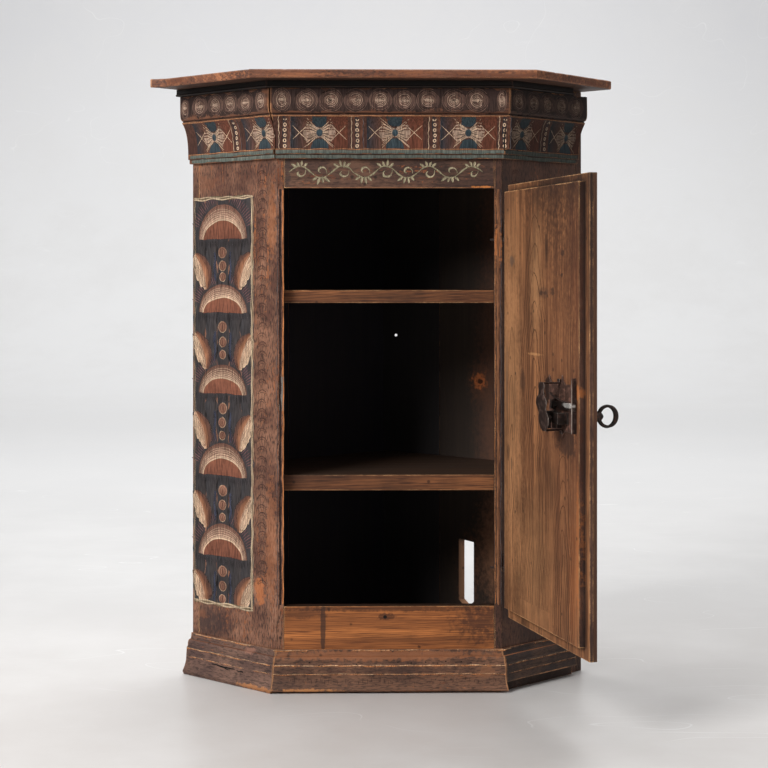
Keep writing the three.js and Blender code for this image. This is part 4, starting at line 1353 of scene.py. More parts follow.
@dataclass(frozen=True)
class ArcadeSize:
    """The sizes of a panel of arches. Those that follow the arch are shares of its half width."""

    centre: float = 0.119
    border: tuple[float, float] = (0.051, 0.185)
    foot: float = 0.11
    head: float = 0.724
    half_width: float = 0.055
    pitch: float = 0.1205
    springing: float = 0.66
    arches: tuple[tuple[float, float], ...] = (
        (0.0, 0.0536), (0.01, 0.044), (0.0085, 0.0455), (0.006, 0.05), (0.0045, 0.051))
    inner_shares: tuple[float, float] = (0.8, 0.54)
    beads: tuple[Place, ...] = (
        (0.019, 0.01, 0.0096), (0.039, 0.0088, 0.0088), (0.056, 0.0078, 0.0076))
    wing_drop: tuple[float, float] = (0.0215, 0.075)
    wing_reach: tuple[float, float] = (0.7, 0.47)
    wing_pale: float = 0.34
    wing_warm: float = 0.2
    comb_column: float = 0.031
    comb_pitch: float = 0.014
    comb_span: tuple[float, float] = (0.15, 0.76)


@dataclass
class Arcade(Ornament):
    """Arches one over another, with a fringe, three beads and two wings under each.

    Side is 1 where the panel lies to the right of the face's origin, and -1 where to the left.
    """

    side: int
    size: ArcadeSize

    def __post_init__(self) -> None:
        """Works out where the arches stand."""
        size = self.size
        self.centre = self.side * size.centre
        self.bases = size.springing - size.pitch * np.arange(len(size.arches))
        self.arches = [(base + lift, rise) for base, (lift, rise) in zip(self.bases, size.arches)]

    def arc(self, base: float, rise: float, width_share: float, height_share: float) -> np.ndarray:
        """Half an oval over the springing line: cosine and sine times the arch's sizes.

        Args:
            base: the height of the springing line.
            rise: the arch's height over it.
            width_share: the oval's share of the arch's breadth.
            height_share: the oval's share of the arch's height.

        Returns:
            The points of the arc.
        """
        turn = np.linspace(0.02, math.pi - 0.02, 40)
        return paired(self.centre + self.size.half_width * width_share * np.cos(turn),
                      base + rise * height_share * np.sin(turn))

    def build(self) -> None:
        """Lays all the paints, from the ground up."""
        self.lay_ground()
        self.lay_arches()
        self.lay_fringes()
        self.lay_beads()
        self.lay_wings()
        self.lay_border()
        self.dry()

    def lay_ground(self) -> None:
        """The dark ground, in broad upright strokes side by side, and bluish light beside the beads."""
        size = self.size
        ground = self.brush("ground", Palette.ground, 0)
        glow = self.brush("glow", Palette.glow, 1)
        edges = self.side * np.linspace(size.border[0], size.border[1], 6)
        for low, high in zip(edges[:-1], edges[1:]):
            ground.upright((low + high) / 2, size.foot + 0.001, size.head - 0.001, abs(high - low) * 1.04)
        for base in self.bases:
            for side in (-1, 1):
                glow.upright(self.centre + side * 0.32 * size.half_width, base - 0.062, base - 0.018, 0.012,
                             wave=0.001)

    def lay_arches(self) -> None:
        """Each arch: a red-brown half disc, a broad band whose inner edge is cream, and dark stipples."""
        size = self.size
        discs = self.brush("half_discs", Palette.tint, 2)
        bands = self.brush("bands", Palette.band, 3)
        creams = self.brush("arch_lines", Palette.cream, 5)
        dots = self.brush("stipples", replace(Palette.shade, dryness=0.5), 4)
        combs = self.brush("shoulder_combs", BrushPaint((126, 80, 66), (74, 64, 80), 0.34, 0.3), 1)
        wide, high = size.inner_shares
        for base, rise in self.arches:
            share = np.linspace(-0.98, 0.98, 24)
            path = paired(self.centre + size.half_width * (wide + 0.03) * share, base)
            discs.stroke(path, rise * (high + 0.04) * np.sqrt(1 - share**2), 0.0005, across=5)
            inner, outer = self.arc(base, rise, wide, high), self.arc(base, rise, 1.0, 1.0)
            half = np.linalg.norm(outer - inner, axis=1) / 2
            bands.stroke((inner + outer) / 2, half, half, tremor=0.0003, across=6)
            for step, width in zip((0.03, 0.15, 0.27, 0.41, 0.55, 0.69),
                                   (0.003, 0.0012, 0.001, 0.0007, 0.0007, 0.0005)):
                line = inner * (1 - step) + outer * step
                creams.stroke(line, width / 2 * (0.55 + 0.6 * np.sin(np.linspace(0, math.pi, 40))))
            for turn in np.linspace(0.06, math.pi - 0.06, 42):
                for step in (0.22, 0.38, 0.54, 0.7, 0.86):
                    lean = dots.hand.normal(0, 0.03)
                    way = np.array([math.cos(turn + lean), math.sin(turn + lean)])
                    shares = np.array([wide, high]) * (1 - step) + step
                    spot = np.array([self.centre, base]) + way * shares * np.array([size.half_width, rise])
                    dots.line(spot - [0, 0.0017], spot + [0, 0.0017], 0.0007, points=3)
            for side in (-1, 1):
                for turn in np.linspace(0.35, 1.3, 15):
                    way = np.array([side * math.cos(turn) * size.half_width, math.sin(turn) * rise])
                    start = np.array([self.centre, base]) + way * 1.05
                    combs.line(start, start + way * 0.28 + [side * 0.002, 0.001], 0.0019, 4)

    def lay_fringes(self) -> None:
        """The dark comb under each arch: hairs of uneven length that rise and fan out at both ends."""
        brush = self.brush("fringes", Palette.hair, 3)
        reach = self.size.half_width * 1.1
        for base, _ in self.arches:
            for share in np.linspace(-1, 1, 50):
                place = self.centre + reach * share + brush.hand.normal(0, 0.0005)
                bow = 0.0035 * abs(share) ** 3
                drop = 0.01 + 0.0055 * brush.hand.random() - bow
                start = (place, base + bow - 0.0004 - 0.0022 * brush.hand.random())
                brush.line(start, (place + 0.004 * share**3, base - drop), 0.002, 4)

    def lay_beads(self) -> None:
        """Three oval beads under each arch, each smaller than the one over it, with a dark heart."""
        beads = self.brush("beads", Palette.bead, 4)
        eyes = self.brush("bead_eyes", Palette.eye, 5)
        rims = self.brush("bead_rims", replace(Palette.border, dryness=0.6), 6)
        for base, rise in self.arches:
            room = 1.0 if rise == self.size.arches[0][1] else 1.11
            for drop, half_width, half_height in self.size.beads:
                middle = base - drop * room + beads.hand.normal(0, 0.0005)
                centre = (self.centre + beads.hand.normal(0, 0.0006), middle)
                beads.disc(centre, half_width, half_height)
                eyes.ring(centre, half_width * 0.55, half_height * 0.6, 0.0012)
                eyes.line((centre[0], centre[1] - half_height * 0.5),
                          (centre[0], centre[1] + half_height * 0.5), 0.0026, 4)
                rims.ring(centre, half_width * 0.86, half_height * 0.88, 0.0009, turns=0.7)

    def lay_wings(self) -> None:
        """A wing at both sides, like a leaf: its midrib swings from the border towards the next arch.

        Towards the beads it is warm and fades into the dark, towards the border pale, veined and scalloped.
        The midrib's distance falls with the square of the way left to go, and both widths follow a sine.
        """
        size = self.size
        halo = self.brush("wing_halos", Palette.halo, 1)
        warm = self.brush("wings_warm", Palette.wing_warm, 3)
        pale = self.brush("wings_pale", Palette.wing_pale, 4)
        rims = self.brush("wing_rims", Palette.shade, 3)
        veins = self.brush("wing_veins", replace(Palette.umber, left=(96, 62, 46), dryness=0.34), 5)
        lights = self.brush("wing_lights", Palette.cream, 6)
        share = np.linspace(0, 1, 48)
        swell = np.sin(math.pi * np.clip(share * 0.9 + 0.06, 0, 1)) ** 0.8
        scallop = 0.0024 * np.abs(np.sin(share * math.pi * 4.2)) ** 0.6
        scallop *= np.interp(share, [0.2, 0.4], [0, 1])
        outwards = size.wing_pale * size.half_width * swell + scallop - 0.0012
        inwards = size.wing_warm * size.half_width * swell
        thin = np.full(48, 0.0006)
        for base in self.bases:
            top, foot = base - size.wing_drop[0], base - size.wing_drop[1]
            height = top + (foot - top) * share
            kept = height > size.foot + 0.003
            if np.count_nonzero(kept) < 12:
                continue
            for side in (-1, 1):
                away = size.half_width * (size.wing_reach[0] + size.wing_reach[1] * (1 - share) ** 2.2)
                path = paired(self.centre + side * away, height)[kept]
                order = slice(None, None, side)
                path, out, inn = path[order], outwards[kept][order], inwards[kept][order]
                line = thin[kept]
                halo.stroke(path - [side * 0.002, 0], line, inn * 2.0, across=5)
                warm.stroke(path, line * 4, inn * 1.1, across=5)
                rims.stroke(path + paired(side * out, 0.0), 0.0016, 0.0008)
                pale.stroke(path, out, line * 3, across=4)
                for step in np.linspace(0.06, 0.94, 8):
                    vein = path + paired(side * out * step, 0.0)
                    veins.stroke(vein[3:-3], 0.0003 + 0.0004 * veins.hand.random())
                    cut = int(veins.hand.integers(3, 16))
                    lights.stroke((vein + [side * 0.0011, 0])[cut:-4], 0.0004 + 0.0005 * veins.hand.random())

    def lay_border(self) -> None:
        """The wavy border: a dull band between two ragged cream lines."""
        size = self.size
        band = self.brush("border_band", Palette.sedge, 6)
        lines = self.brush("border_lines", Palette.border, 7)
        low, high = sorted((self.side * size.border[0], self.side * size.border[1]))
        for along in (low, high):
            inside = 0.0016 if along == low else -0.0016
            share = 0.3 if along == self.side * size.border[1] else 1.0
            band.upright(along + inside, size.foot, size.head, 0.0042 * share, wave=0.0005, pitch=0.05)
            for shift, width in ((-0.0014, 0.0019), (0.0016, 0.0013)):
                lines.upright(along + inside + shift, size.foot, size.head, width * share, wave=0.0007,
                              pitch=0.04)
        for height, inside, width in ((size.foot, 0.0016, 0.0029), (size.head, -0.0016, 0.0022)):
            band.level(low, high, height + inside, 0.0056, wave=0.0008, pitch=0.06)
            for shift in (-0.0014, 0.0014):
                lines.level(low, high, height + inside + shift, width, wave=0.001, pitch=0.045)


@dataclass
class CombColumn(Ornament):
    """A column of dark comb marks, each a small feathered arch, on the same side as its arcade."""

    side: int
    size: ArcadeSize

    def build(self) -> None:
        """Lays the marks from below: two half rings, and short strokes that cross them."""
        brush = self.brush("marks", Palette.comb, 0)
        middle = self.side * self.size.comb_column
        for height in np.arange(*self.size.comb_span, self.size.comb_pitch):
            centre = np.array([middle, height]) + brush.hand.normal(0, 0.0006, 2)
            turn = np.linspace(0.1, math.pi - 0.1, 14)
            for wide, high, width in ((0.01, 0.0085, 0.0018), (0.0064, 0.0048, 0.0013)):
                path = centre + paired(wide * np.cos(turn), high * np.sin(turn))
                brush.stroke(path, width / 2 * np.sin(np.linspace(0.3, math.pi - 0.3, 14)))
            for lean in np.linspace(0.2, math.pi - 0.2, 11):
                way = np.array([math.cos(lean), 0.85 * math.sin(lean)])
                tip = centre + way * 0.0118 + brush.hand.normal(0, 0.0004, 2)
                brush.line(centre + way * 0.0066, tip, 0.0011, 3)
        self.dry()


@dataclass(frozen=True)
class RoundelSize:
    """The sizes of the row of painted discs along the top of the cornice."""

    low: float = 0.8412
    high: float = 0.8768
    centre: float = 0.8592
    radius: float = 0.0181


@dataclass
class Roundels(Ornament):
    """A row of discs with thin chalky rings, on a slate ground that lies between its ends."""

    ends: tuple[float, float]
    centres: Sequence[float]
    size: RoundelSize = RoundelSize()

    def build(self) -> None:
        """Lays ground, discs and rings, which grow fainter outwards."""
        size = self.size
        ground = self.brush("ground", Palette.slate, 0)
        discs = self.brush("discs", Palette.rose, 1)
        faded = replace(Palette.rose, left=(112, 86, 74), right=(94, 70, 60), dryness=0.34)
        cores = self.brush("cores", faded, 2)
        rings = self.brush("rings", Palette.chalk, 4)
        dense = self.brush("cores_chalk", replace(Palette.chalk, dryness=0.62, fade=0.9), 3)
        dull = replace(Palette.chalk, left=(126, 100, 86), right=(104, 80, 70))
        faint = self.brush("faint_rings", dull, 3)
        hearts = self.brush("hearts", Palette.umber, 3)
        ground.level(*self.ends, (size.low + size.high) / 2, size.high - size.low)
        for along in self.centres:
            centre = (along + discs.hand.normal(0, 0.0006), size.centre + discs.hand.normal(0, 0.0004))
            room = min(abs(along - self.ends[0]), abs(self.ends[1] - along))
            half_width = min(size.radius, max(room - 0.0005, 0.004))
            discs.disc(centre, half_width, size.radius)
            cores.disc(centre, half_width * 0.6, size.radius * 0.6)
            dense.disc(centre, half_width * 0.42, size.radius * 0.42)
            for share in (0.14, 0.27, 0.4, 0.53, 0.66, 0.79, 0.93):
                wide = half_width * (share + rings.hand.normal(0, 0.02))
                brush = rings if share < 0.6 else faint
                brush.ring(centre, wide, size.radius * share, 0.0009, turns=rings.hand.uniform(0.55, 0.95))
            if hearts.hand.random() < 0.4:
                hearts.disc(centre, half_width * 0.2, size.radius * 0.2)
        self.dry()


@dataclass(frozen=True)
class PatternSize:
    """The sizes of the patterned band in the cornice's hollow."""

    low: float = 0.7898
    high: float = 0.8365
    half_panel: float = 0.041
    cross_offset: float = 0.0285
    cross_reach: float = 0.0105
    star_reach: float = 0.0235
    flower_reach: float = 0.013
    strip_half: float = 0.0085
    ring_radius: float = 0.0026
    ring_pitch: float = 0.0076


@dataclass
class Pattern(Ornament):
    """Panels with a pale star between half flowers and two crosses, parted by strips of small rings.

    The ground lies between its ends, and panels and strips are given by where their middles lie.
    """

    ends: tuple[float, float]
    panels: Sequence[float]
    strips: Sequence[float]
    size: PatternSize = PatternSize()

    def __post_init__(self) -> None:
        """Works out the band's middle and half its height."""
        self.middle = (self.size.low + self.size.high) / 2
        self.half = (self.size.high - self.size.low) / 2

    def clipped(self, along: np.ndarray) -> np.ndarray:
        """Keeps places along the face between the ends of the ground."""
        return np.clip(along, self.ends[0] + 0.0006, self.ends[1] - 0.0006)

    def build(self) -> None:
        """Lays every panel and strip."""
        ground = self.brush("ground", replace(Palette.russet, left=(78, 52, 42), right=(70, 46, 40)), 0)
        ground.level(*self.ends, self.middle, 2 * self.half)
        paints = {"night": (Palette.night, 1), "russet": (Palette.russet, 1), "sand": (Palette.sand, 2),
                  "teal": (Palette.teal, 3), "cream": (Palette.cream, 5), "umber": (Palette.umber, 2),
                  "dusk": (Palette.dusk, 4), "eye": (replace(Palette.teal, left=(66, 82, 88)), 4),
                  "rays": (replace(Palette.cream, dryness=0.5), 3),
                  "gaps": (replace(Palette.umber, dryness=0.5, fade=0.3), 3)}
        brushes = {key: self.brush(key, paint, layer) for key, (paint, layer) in paints.items()}
        for middle in self.panels:
            self.lay_panel(middle, brushes)
        for middle in self.strips:
            self.lay_strip(middle, brushes)
        edge = self.brush("edge_line", replace(Palette.ember, left=(190, 140, 104)), 5)
        edge.level(*self.ends, self.size.high + 0.0004, 0.0012)
        edge.level(*self.ends, self.size.low - 0.0001, 0.001)
        self.dry()

    def lay_panel(self, middle: float, brushes: dict[str, Brush]) -> None:
        """One panel: grounds, star, half flowers, eye and crosses.

        Args:
            middle: the place of its middle along the face.
            brushes: the brushes, by paint.
        """
        size, heights = self.size, np.linspace(self.size.low, self.size.high, 12)
        for key, side in (("night", -1), ("russet", 1)):
            inner, outer = middle + side * 0.01, middle + side * size.half_panel
            low, high = np.clip(sorted((inner, outer)), *self.ends)
            if high - low > 0.004:
                path = paired((low + high) / 2, heights)
                brushes[key].stroke(path, (high - low) / 2, across=5)
        share = np.linspace(-1, 1, 41)
        teeth = 0.0016 * np.abs((share * 18) % 2 - 1)
        swell = np.interp(np.abs(share), [0, 0.25, 0.72, 0.9, 1], [0.42, 0.62, 0.96, 0.6, 0.08])
        bow = self.half * swell - teeth
        along = self.clipped(middle + share * size.star_reach)
        brushes["sand"].stroke(paired(along, self.middle), bow, tremor=0.0002, across=5)
        self.lay_rays(middle, brushes)
        arch = np.sqrt(1 - (share * 0.99) ** 2)
        depth = self.half * 0.66 * arch * (1 + 0.1 * np.abs(np.sin(share * 12)))
        for height, up in ((size.high, False), (size.low, True)):
            path = paired(self.clipped(middle + share * size.flower_reach), height)
            sides = (depth, 0.0002) if up else (0.0002, depth)
            brushes["teal"].stroke(path, *sides, tremor=0.0002, across=4)
        if self.ends[0] + 0.006 < middle < self.ends[1] - 0.006:
            brushes["eye"].disc((middle, self.middle), 0.0046, 0.0062)
        for side in (-1, 1):
            cross = middle + side * size.cross_offset
            if not self.ends[0] + 0.009 < cross < self.ends[1] - 0.009:
                continue
            reach = size.cross_reach
            for slope in (-1, 1):
                start = (cross - reach, self.middle - slope * reach * 0.95)
                brushes["cream"].line(start, (cross + reach, self.middle + slope * reach * 0.95), 0.0012, 8)

    def lay_rays(self, middle: float, brushes: dict[str, Brush]) -> None:
        """The star's feathers: thin rays that fan out from the eye to both sides, pale with dark gaps.

        Args:
            middle: the place of its middle along the face.
            brushes: the brushes, by paint.
        """
        size = self.size
        for side in (-1, 1):
            for step, fan in enumerate(np.linspace(-1, 1, 19)):
                start = (middle + side * 0.0042, self.middle + 0.0068 * fan)
                reach = size.star_reach * (0.62 + 0.32 * abs(fan))
                reach *= brushes["rays"].hand.uniform(0.85, 1.05)
                tip = float(self.clipped(np.array(middle + side * reach)))
                end = (tip, self.middle + self.half * 0.93 * fan)
                if abs(end[0] - middle) > 0.007:
                    brushes["gaps" if step % 3 == 2 else "rays"].line(start, end, 0.001, 7)

    def lay_strip(self, middle: float, brushes: dict[str, Brush]) -> None:
        """One strip: rings over one another between a cream and a bluish wavy line.

        Args:
            middle: the place of its middle along the face.
            brushes: the brushes, by paint.
        """
        size, cream = self.size, brushes["cream"]
        brushes["night"].upright(middle + size.strip_half * 0.3, size.low, size.high, 0.011)
        for key, side, width in (("cream", -1, 0.0012), ("dusk", 1, 0.0013)):
            along = middle + side * size.strip_half
            brushes[key].upright(along, size.low, size.high, width, wave=0.0007, pitch=0.012)
        for height in np.arange(size.low + 0.0045, size.high - 0.002, size.ring_pitch):
            centre = (middle + cream.hand.normal(0, 0.0004), height)
            cream.ring(centre, size.ring_radius * 0.72, size.ring_radius * 0.8, 0.0022)


@dataclass
class Vine(Ornament):
    """A scrolling stem with leaves along the frieze, from end to end about its middle height."""

    ends: tuple[float, float]
    height: float
    turns: float = 4.5
    swing: float = 0.0085

    def build(self) -> None:
        """The stem is a sine along the frieze, with a curl in each bay and leaves beside it."""
        turns = self.turns
        stem = self.brush("stem", Palette.sage, 1)
        leaves = self.brush("leaves", Palette.sage, 2)
        pale = self.brush("lights", replace(Palette.chalk, left=(206, 192, 160), dryness=0.5), 3)
        share = np.linspace(0, 1, 160)
        along = self.ends[0] + (self.ends[1] - self.ends[0]) * share
        wave = self.swing * np.sin(share * 2 * math.pi * turns)
        stem.stroke(paired(along, self.height + wave), 0.0007 + 0.0009 * np.sin(share * 47) ** 2)
        bay = (self.ends[1] - self.ends[0]) / (2 * turns)
        for index in range(int(2 * turns)):
            side = 1 if index % 2 else -1
            middle = self.ends[0] + bay * (index + 0.5) + stem.hand.normal(0, 0.0012)
            grown = stem.hand.uniform(0.85, 1.15)
            turn = np.linspace(-0.4, 4.4 + stem.hand.uniform(-0.5, 0.5), 30)
            radius = 0.0088 * grown * np.exp(-0.28 * (turn + 0.4))
            curl = paired(middle + radius * np.cos(turn),
                          self.height + side * (0.0012 + radius * np.sin(turn)))
            leaves.stroke(curl, 0.0005 + 0.0015 * np.sin(np.linspace(0, math.pi, 30)) ** 2)
            pale.stroke(curl[4:22] + [0.0004, 0.0003], 0.0004)
            for lean in (-0.95, -0.3, 0.2, 0.8):
                way = np.array([math.sin(lean), side * math.cos(lean)])
                root = np.array([middle + lean * 0.006, self.height - side * 0.007])
                steps = np.linspace(0, 1, 12)
                length = 0.0105 * grown * stem.hand.uniform(0.75, 1.1)
                path = root + way * (length * steps[:, None]) * np.array([1, -1])
                leaves.stroke(path, 0.0024 * np.sin(math.pi * steps) ** 0.8 + 0.0001, tremor=0.0004)
                pale.stroke(path[2:10] + [0.0005, 0], 0.0005)
        self.dry()


# Mouldings


@dataclass(frozen=True)
class Run:
    """Where a moulded length lies: its face, its two ends at the face, and how its ends lean outwards."""

    node: str
    face: Face
    start: float
    end: float
    start_lean: float = 0.0
    end_lean: float = 0.0
    pitch: float = 0.004
    nicks: float = 0.0012
    ease: float = 0.0007

    def sweep(self, outline: np.ndarray) -> bpy.types.Object:
        """Carries an outline of [reach, height] along: the reach takes the face's slow unevenness, and
        corners that stand out are nicked at random places.

        Args:
            outline: the closed outline, points by 2.

        Returns:
            The piece.
        """
        shape = rounded(outline, self.ease, 2)
        stations = np.linspace(self.start, self.end, max(int((self.end - self.start) / self.pitch), 2))
        share = ((stations - self.start) / (self.end - self.start))[:, None]
        reach, height = shape[:, 0][None, :], shape[:, 1][None, :]
        front = (reach > shape[:, 0].max() * 0.2).astype(float)
        uneven = drift(stations, self.face.seed, self.face.unevenness, self.face.wave)[:, None] * front
        before, after = shape - np.roll(shape, 1, axis=0), np.roll(shape, -1, axis=0) - shape
        sine = before[:, 0] * after[:, 1] - before[:, 1] * after[:, 0]
        bend = np.abs(np.arctan2(sine, (before * after).sum(axis=1)))
        sharp = np.clip(bend / 0.5, 0, 1)[None, :]
        hand = np.random.default_rng(self.face.seed + 5)
        dents = np.clip(hand.normal(-0.5, 0.6, (len(stations), 1)), 0, 1) * self.nicks * front * sharp
        along = stations[:, None] + (self.end_lean * share - self.start_lean * (1 - share)) * reach
        flat = replace(self.face, reach=None, unevenness=0.0)
        places = flat.place(along, np.broadcast_to(height, along.shape), reach + uneven - dents)
        return new_mesh(self.node + "_swept", *swept(places))


def three_runs(plan: Plan, stem: str, seed: int, left_gap: float = 0.0003,
               **shared: object) -> dict[str, Run]:
    """The front, left and right lengths of a moulding, mitred in front and cut square at the walls.

    Args:
        plan: the cupboard's plan.
        stem: the nodes' shared name.
        seed: picks the unevenness.
        left_gap: how far the front left mitre stands open on the front length.
        shared: what the faces have in common.

    Returns:
        The three runs by side.
    """
    joint = 0.0003
    left_face = plan.side_face(-1, seed=seed + 1, **shared)
    right_face = plan.side_face(1, seed=seed + 2, **shared)
    left_end = span(f"{stem}_left", left_face.origin, left_face.along)[0]
    right_end = span(f"{stem}_right", right_face.origin, right_face.along)[1]
    front = Run(f"{stem}_front", plan.front_face(seed=seed, **shared), left_gap - plan.half_front,
                plan.half_front - joint, MITRE, MITRE)
    left = Run(f"{stem}_left", left_face, left_end, -joint, 0, MITRE)
    right = Run(f"{stem}_right", right_face, joint, right_end, MITRE, 0)
    return {"front": front, "left": left, "right": right}


LEVEL_GRAINS = {"front": Grain.LEVEL_FRONT, "left": Grain.LEVEL_LEFT_CANT, "right": Grain.LEVEL_RIGHT_CANT}


def bent(start: Sequence[float], middle: Sequence[float], end: Sequence[float],
         steps: int) -> list[tuple[float, float]]:
    """Points of a parabola from start to end that leans towards a middle point.

    Args:
        start: the first point.
        middle: the point that it leans towards.
        end: the last point.
        steps: how many steps it has.

    Returns:
        The points, with both ends.
    """
    share = np.linspace(0, 1, steps + 1)[:, None]
    curve = (1 - share) ** 2 * np.array(start) + 2 * share * (1 - share) * np.array(middle)
    curve += share**2 * np.array(end)
    return [tuple(point) for point in curve]


@dataclass
class Cornice:
    """The cornice: its fillet, cove, quirk and ovolo in three lengths, and the paint on them."""

    plan: Plan
    reach: float = 0.025
    fillet_height: float = 0.013
    fillet_reach: float = 0.0092
    cove_height: float = 0.048
    cove_reach: float = 0.021
    quirk: float = 0.0016
    ovolo_height: float = 0.012
    open_mitre: float = 0.0022
    low: float = field(init=False)
    high: float = field(init=False)

    def __post_init__(self) -> None:
        """Reads how high the cornice stands."""
        self.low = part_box("cornice_front")[0].z
        self.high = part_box("cornice_front")[1].z

    def visible(self) -> np.ndarray:
        """The face's outline from its foot up, as [reach, height].

        Returns:
            The points of the outline.
        """
        middle = self.low + self.fillet_height / 2
        top = self.low + self.fillet_height
        cove_top = top + self.cove_height
        ovolo = cove_top + 2 * self.quirk
        inner, outer = 0.7 * self.fillet_reach, self.fillet_reach
        points = [(inner, self.low), (inner, middle), (outer, middle)]
        control = (outer, top + 0.72 * self.cove_height)
        points += bent((outer, top), control, (self.cove_reach, cove_top), 16)
        inner = self.cove_reach - self.quirk
        points += [(self.cove_reach, cove_top + self.quirk), (inner, cove_top + self.quirk), (inner, ovolo)]
        points += bent((inner, ovolo), (self.reach, ovolo), (self.reach, ovolo + self.ovolo_height), 8)[1:]
        return np.array([*points, (self.reach, self.high)])

    def reach_at(self, height: np.ndarray) -> np.ndarray:
        """How far the face stands out at a height."""
        points = self.visible()
        return np.interp(height, points[:, 1] + np.arange(len(points)) * 1e-7, points[:, 0])

    def build(self) -> None:
        """Sweeps the three lengths and paints them."""
        finish = Pine(light=(120, 78, 56), dark=(66, 42, 33), rubbed=(196, 142, 100), grime=0.6, edge=0.75)
        outline = np.array([(0, self.low), *self.visible().tolist(), (0, self.high)])
        runs = three_runs(self.plan, "cornice", 31, self.open_mitre, reach=self.reach_at, unevenness=0.0004)
        for seed, (key, run) in enumerate(runs.items(), start=40):
            # The right length's wood is darker as painted shade, for the side that faces away from the
            # lamps.
            wood = replace(finish, light=(72, 47, 36), dark=(42, 28, 23)) if key == "right" else finish
            material = wood.material(run.node, LEVEL_GRAINS[key], seed)
            adopt(run.sweep(outline), run.node, material, stands_for=True)
            self.paint(key, run, 300 + 40 * seed)

    def paint(self, key: str, run: Run, seed: int) -> None:
        """The roundels, the pattern and the green fillet of one length.

        Args:
            key: which length it is: front, left or right.
            run: the length.
            seed: picks the unevenness of the strokes.
        """
        mitre = self.cove_reach * MITRE
        ends = {"front": (run.start - mitre * 0.8, run.end + mitre * 0.8),
                "left": (run.start + 0.001, run.end + mitre * 0.8),
                "right": (run.start - mitre * 0.8, run.end - 0.001)}[key]
        discs = {"front": np.linspace(-0.155, 0.163, 10), "left": -0.0064 - 0.034 * np.arange(6),
                 "right": 0.01 + 0.033 * np.arange(5)}[key]
        panels = {"front": (-0.1016, 0.0081, 0.115), "left": (-0.015, -0.1256),
                  "right": (0.033, 0.1367)}[key]
        strips = {"front": (-0.152, -0.0466, 0.0657, 0.168), "left": (-0.075,), "right": (0.0867,)}[key]
        # The right length's paint is dimmed as painted shade.
        light = {"front": 1.0, "left": 1.0, "right": 0.46}[key]
        Roundels(f"roundels_{key}", run.face, run.node, seed, ends, discs, light=light).build()
        Pattern(f"pattern_{key}", run.face, run.node, seed + 20, ends, panels, strips, light=light).build()
        fillet = Ornament(f"fillet_{key}", run.face, run.node, seed + 35, light=light)
        brush = fillet.brush("green", Palette.reed, 1)
        inner = (ends[0] + 0.004, ends[1] - 0.004)
        brush.level(*inner, self.low + 0.75 * self.fillet_height, 0.0058)
        brush.level(*inner, self.low + 0.25 * self.fillet_height, 0.0054)
        fillet.dry()


@dataclass
class Crown:
    """The strip between the cornice and the top board, with a bead along its foot: its near black tone is
    partly painted shade.
    """

    plan: Plan
    reach: float = 0.034
    bead: float = 0.0016

    def build(self) -> None:
        """Sweeps the three lengths."""
        low, high = (corner.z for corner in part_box("crown_strip_front"))
        turn = np.linspace(-math.pi / 2, math.pi / 2, 9)
        arc = paired(self.reach - self.bead + self.bead * np.cos(turn),
                     low + self.bead + self.bead * np.sin(turn))
        outline = np.array([(0, low), *arc.tolist(), (self.reach - self.bead, high), (0, high)])
        # Near black, partly painted shade under the top board's overhang.
        finish = Pine(light=(26, 21, 19), dark=(14, 12, 11), rubbed=(84, 60, 48), grime=0.3, edge=0.5)
        runs = three_runs(self.plan, "crown_strip", 61, unevenness=0.0003)
        for seed, (key, run) in enumerate(runs.items(), 64):
            material = finish.material(run.node, LEVEL_GRAINS[key], seed)
            adopt(run.sweep(outline), run.node, material, stands_for=True)


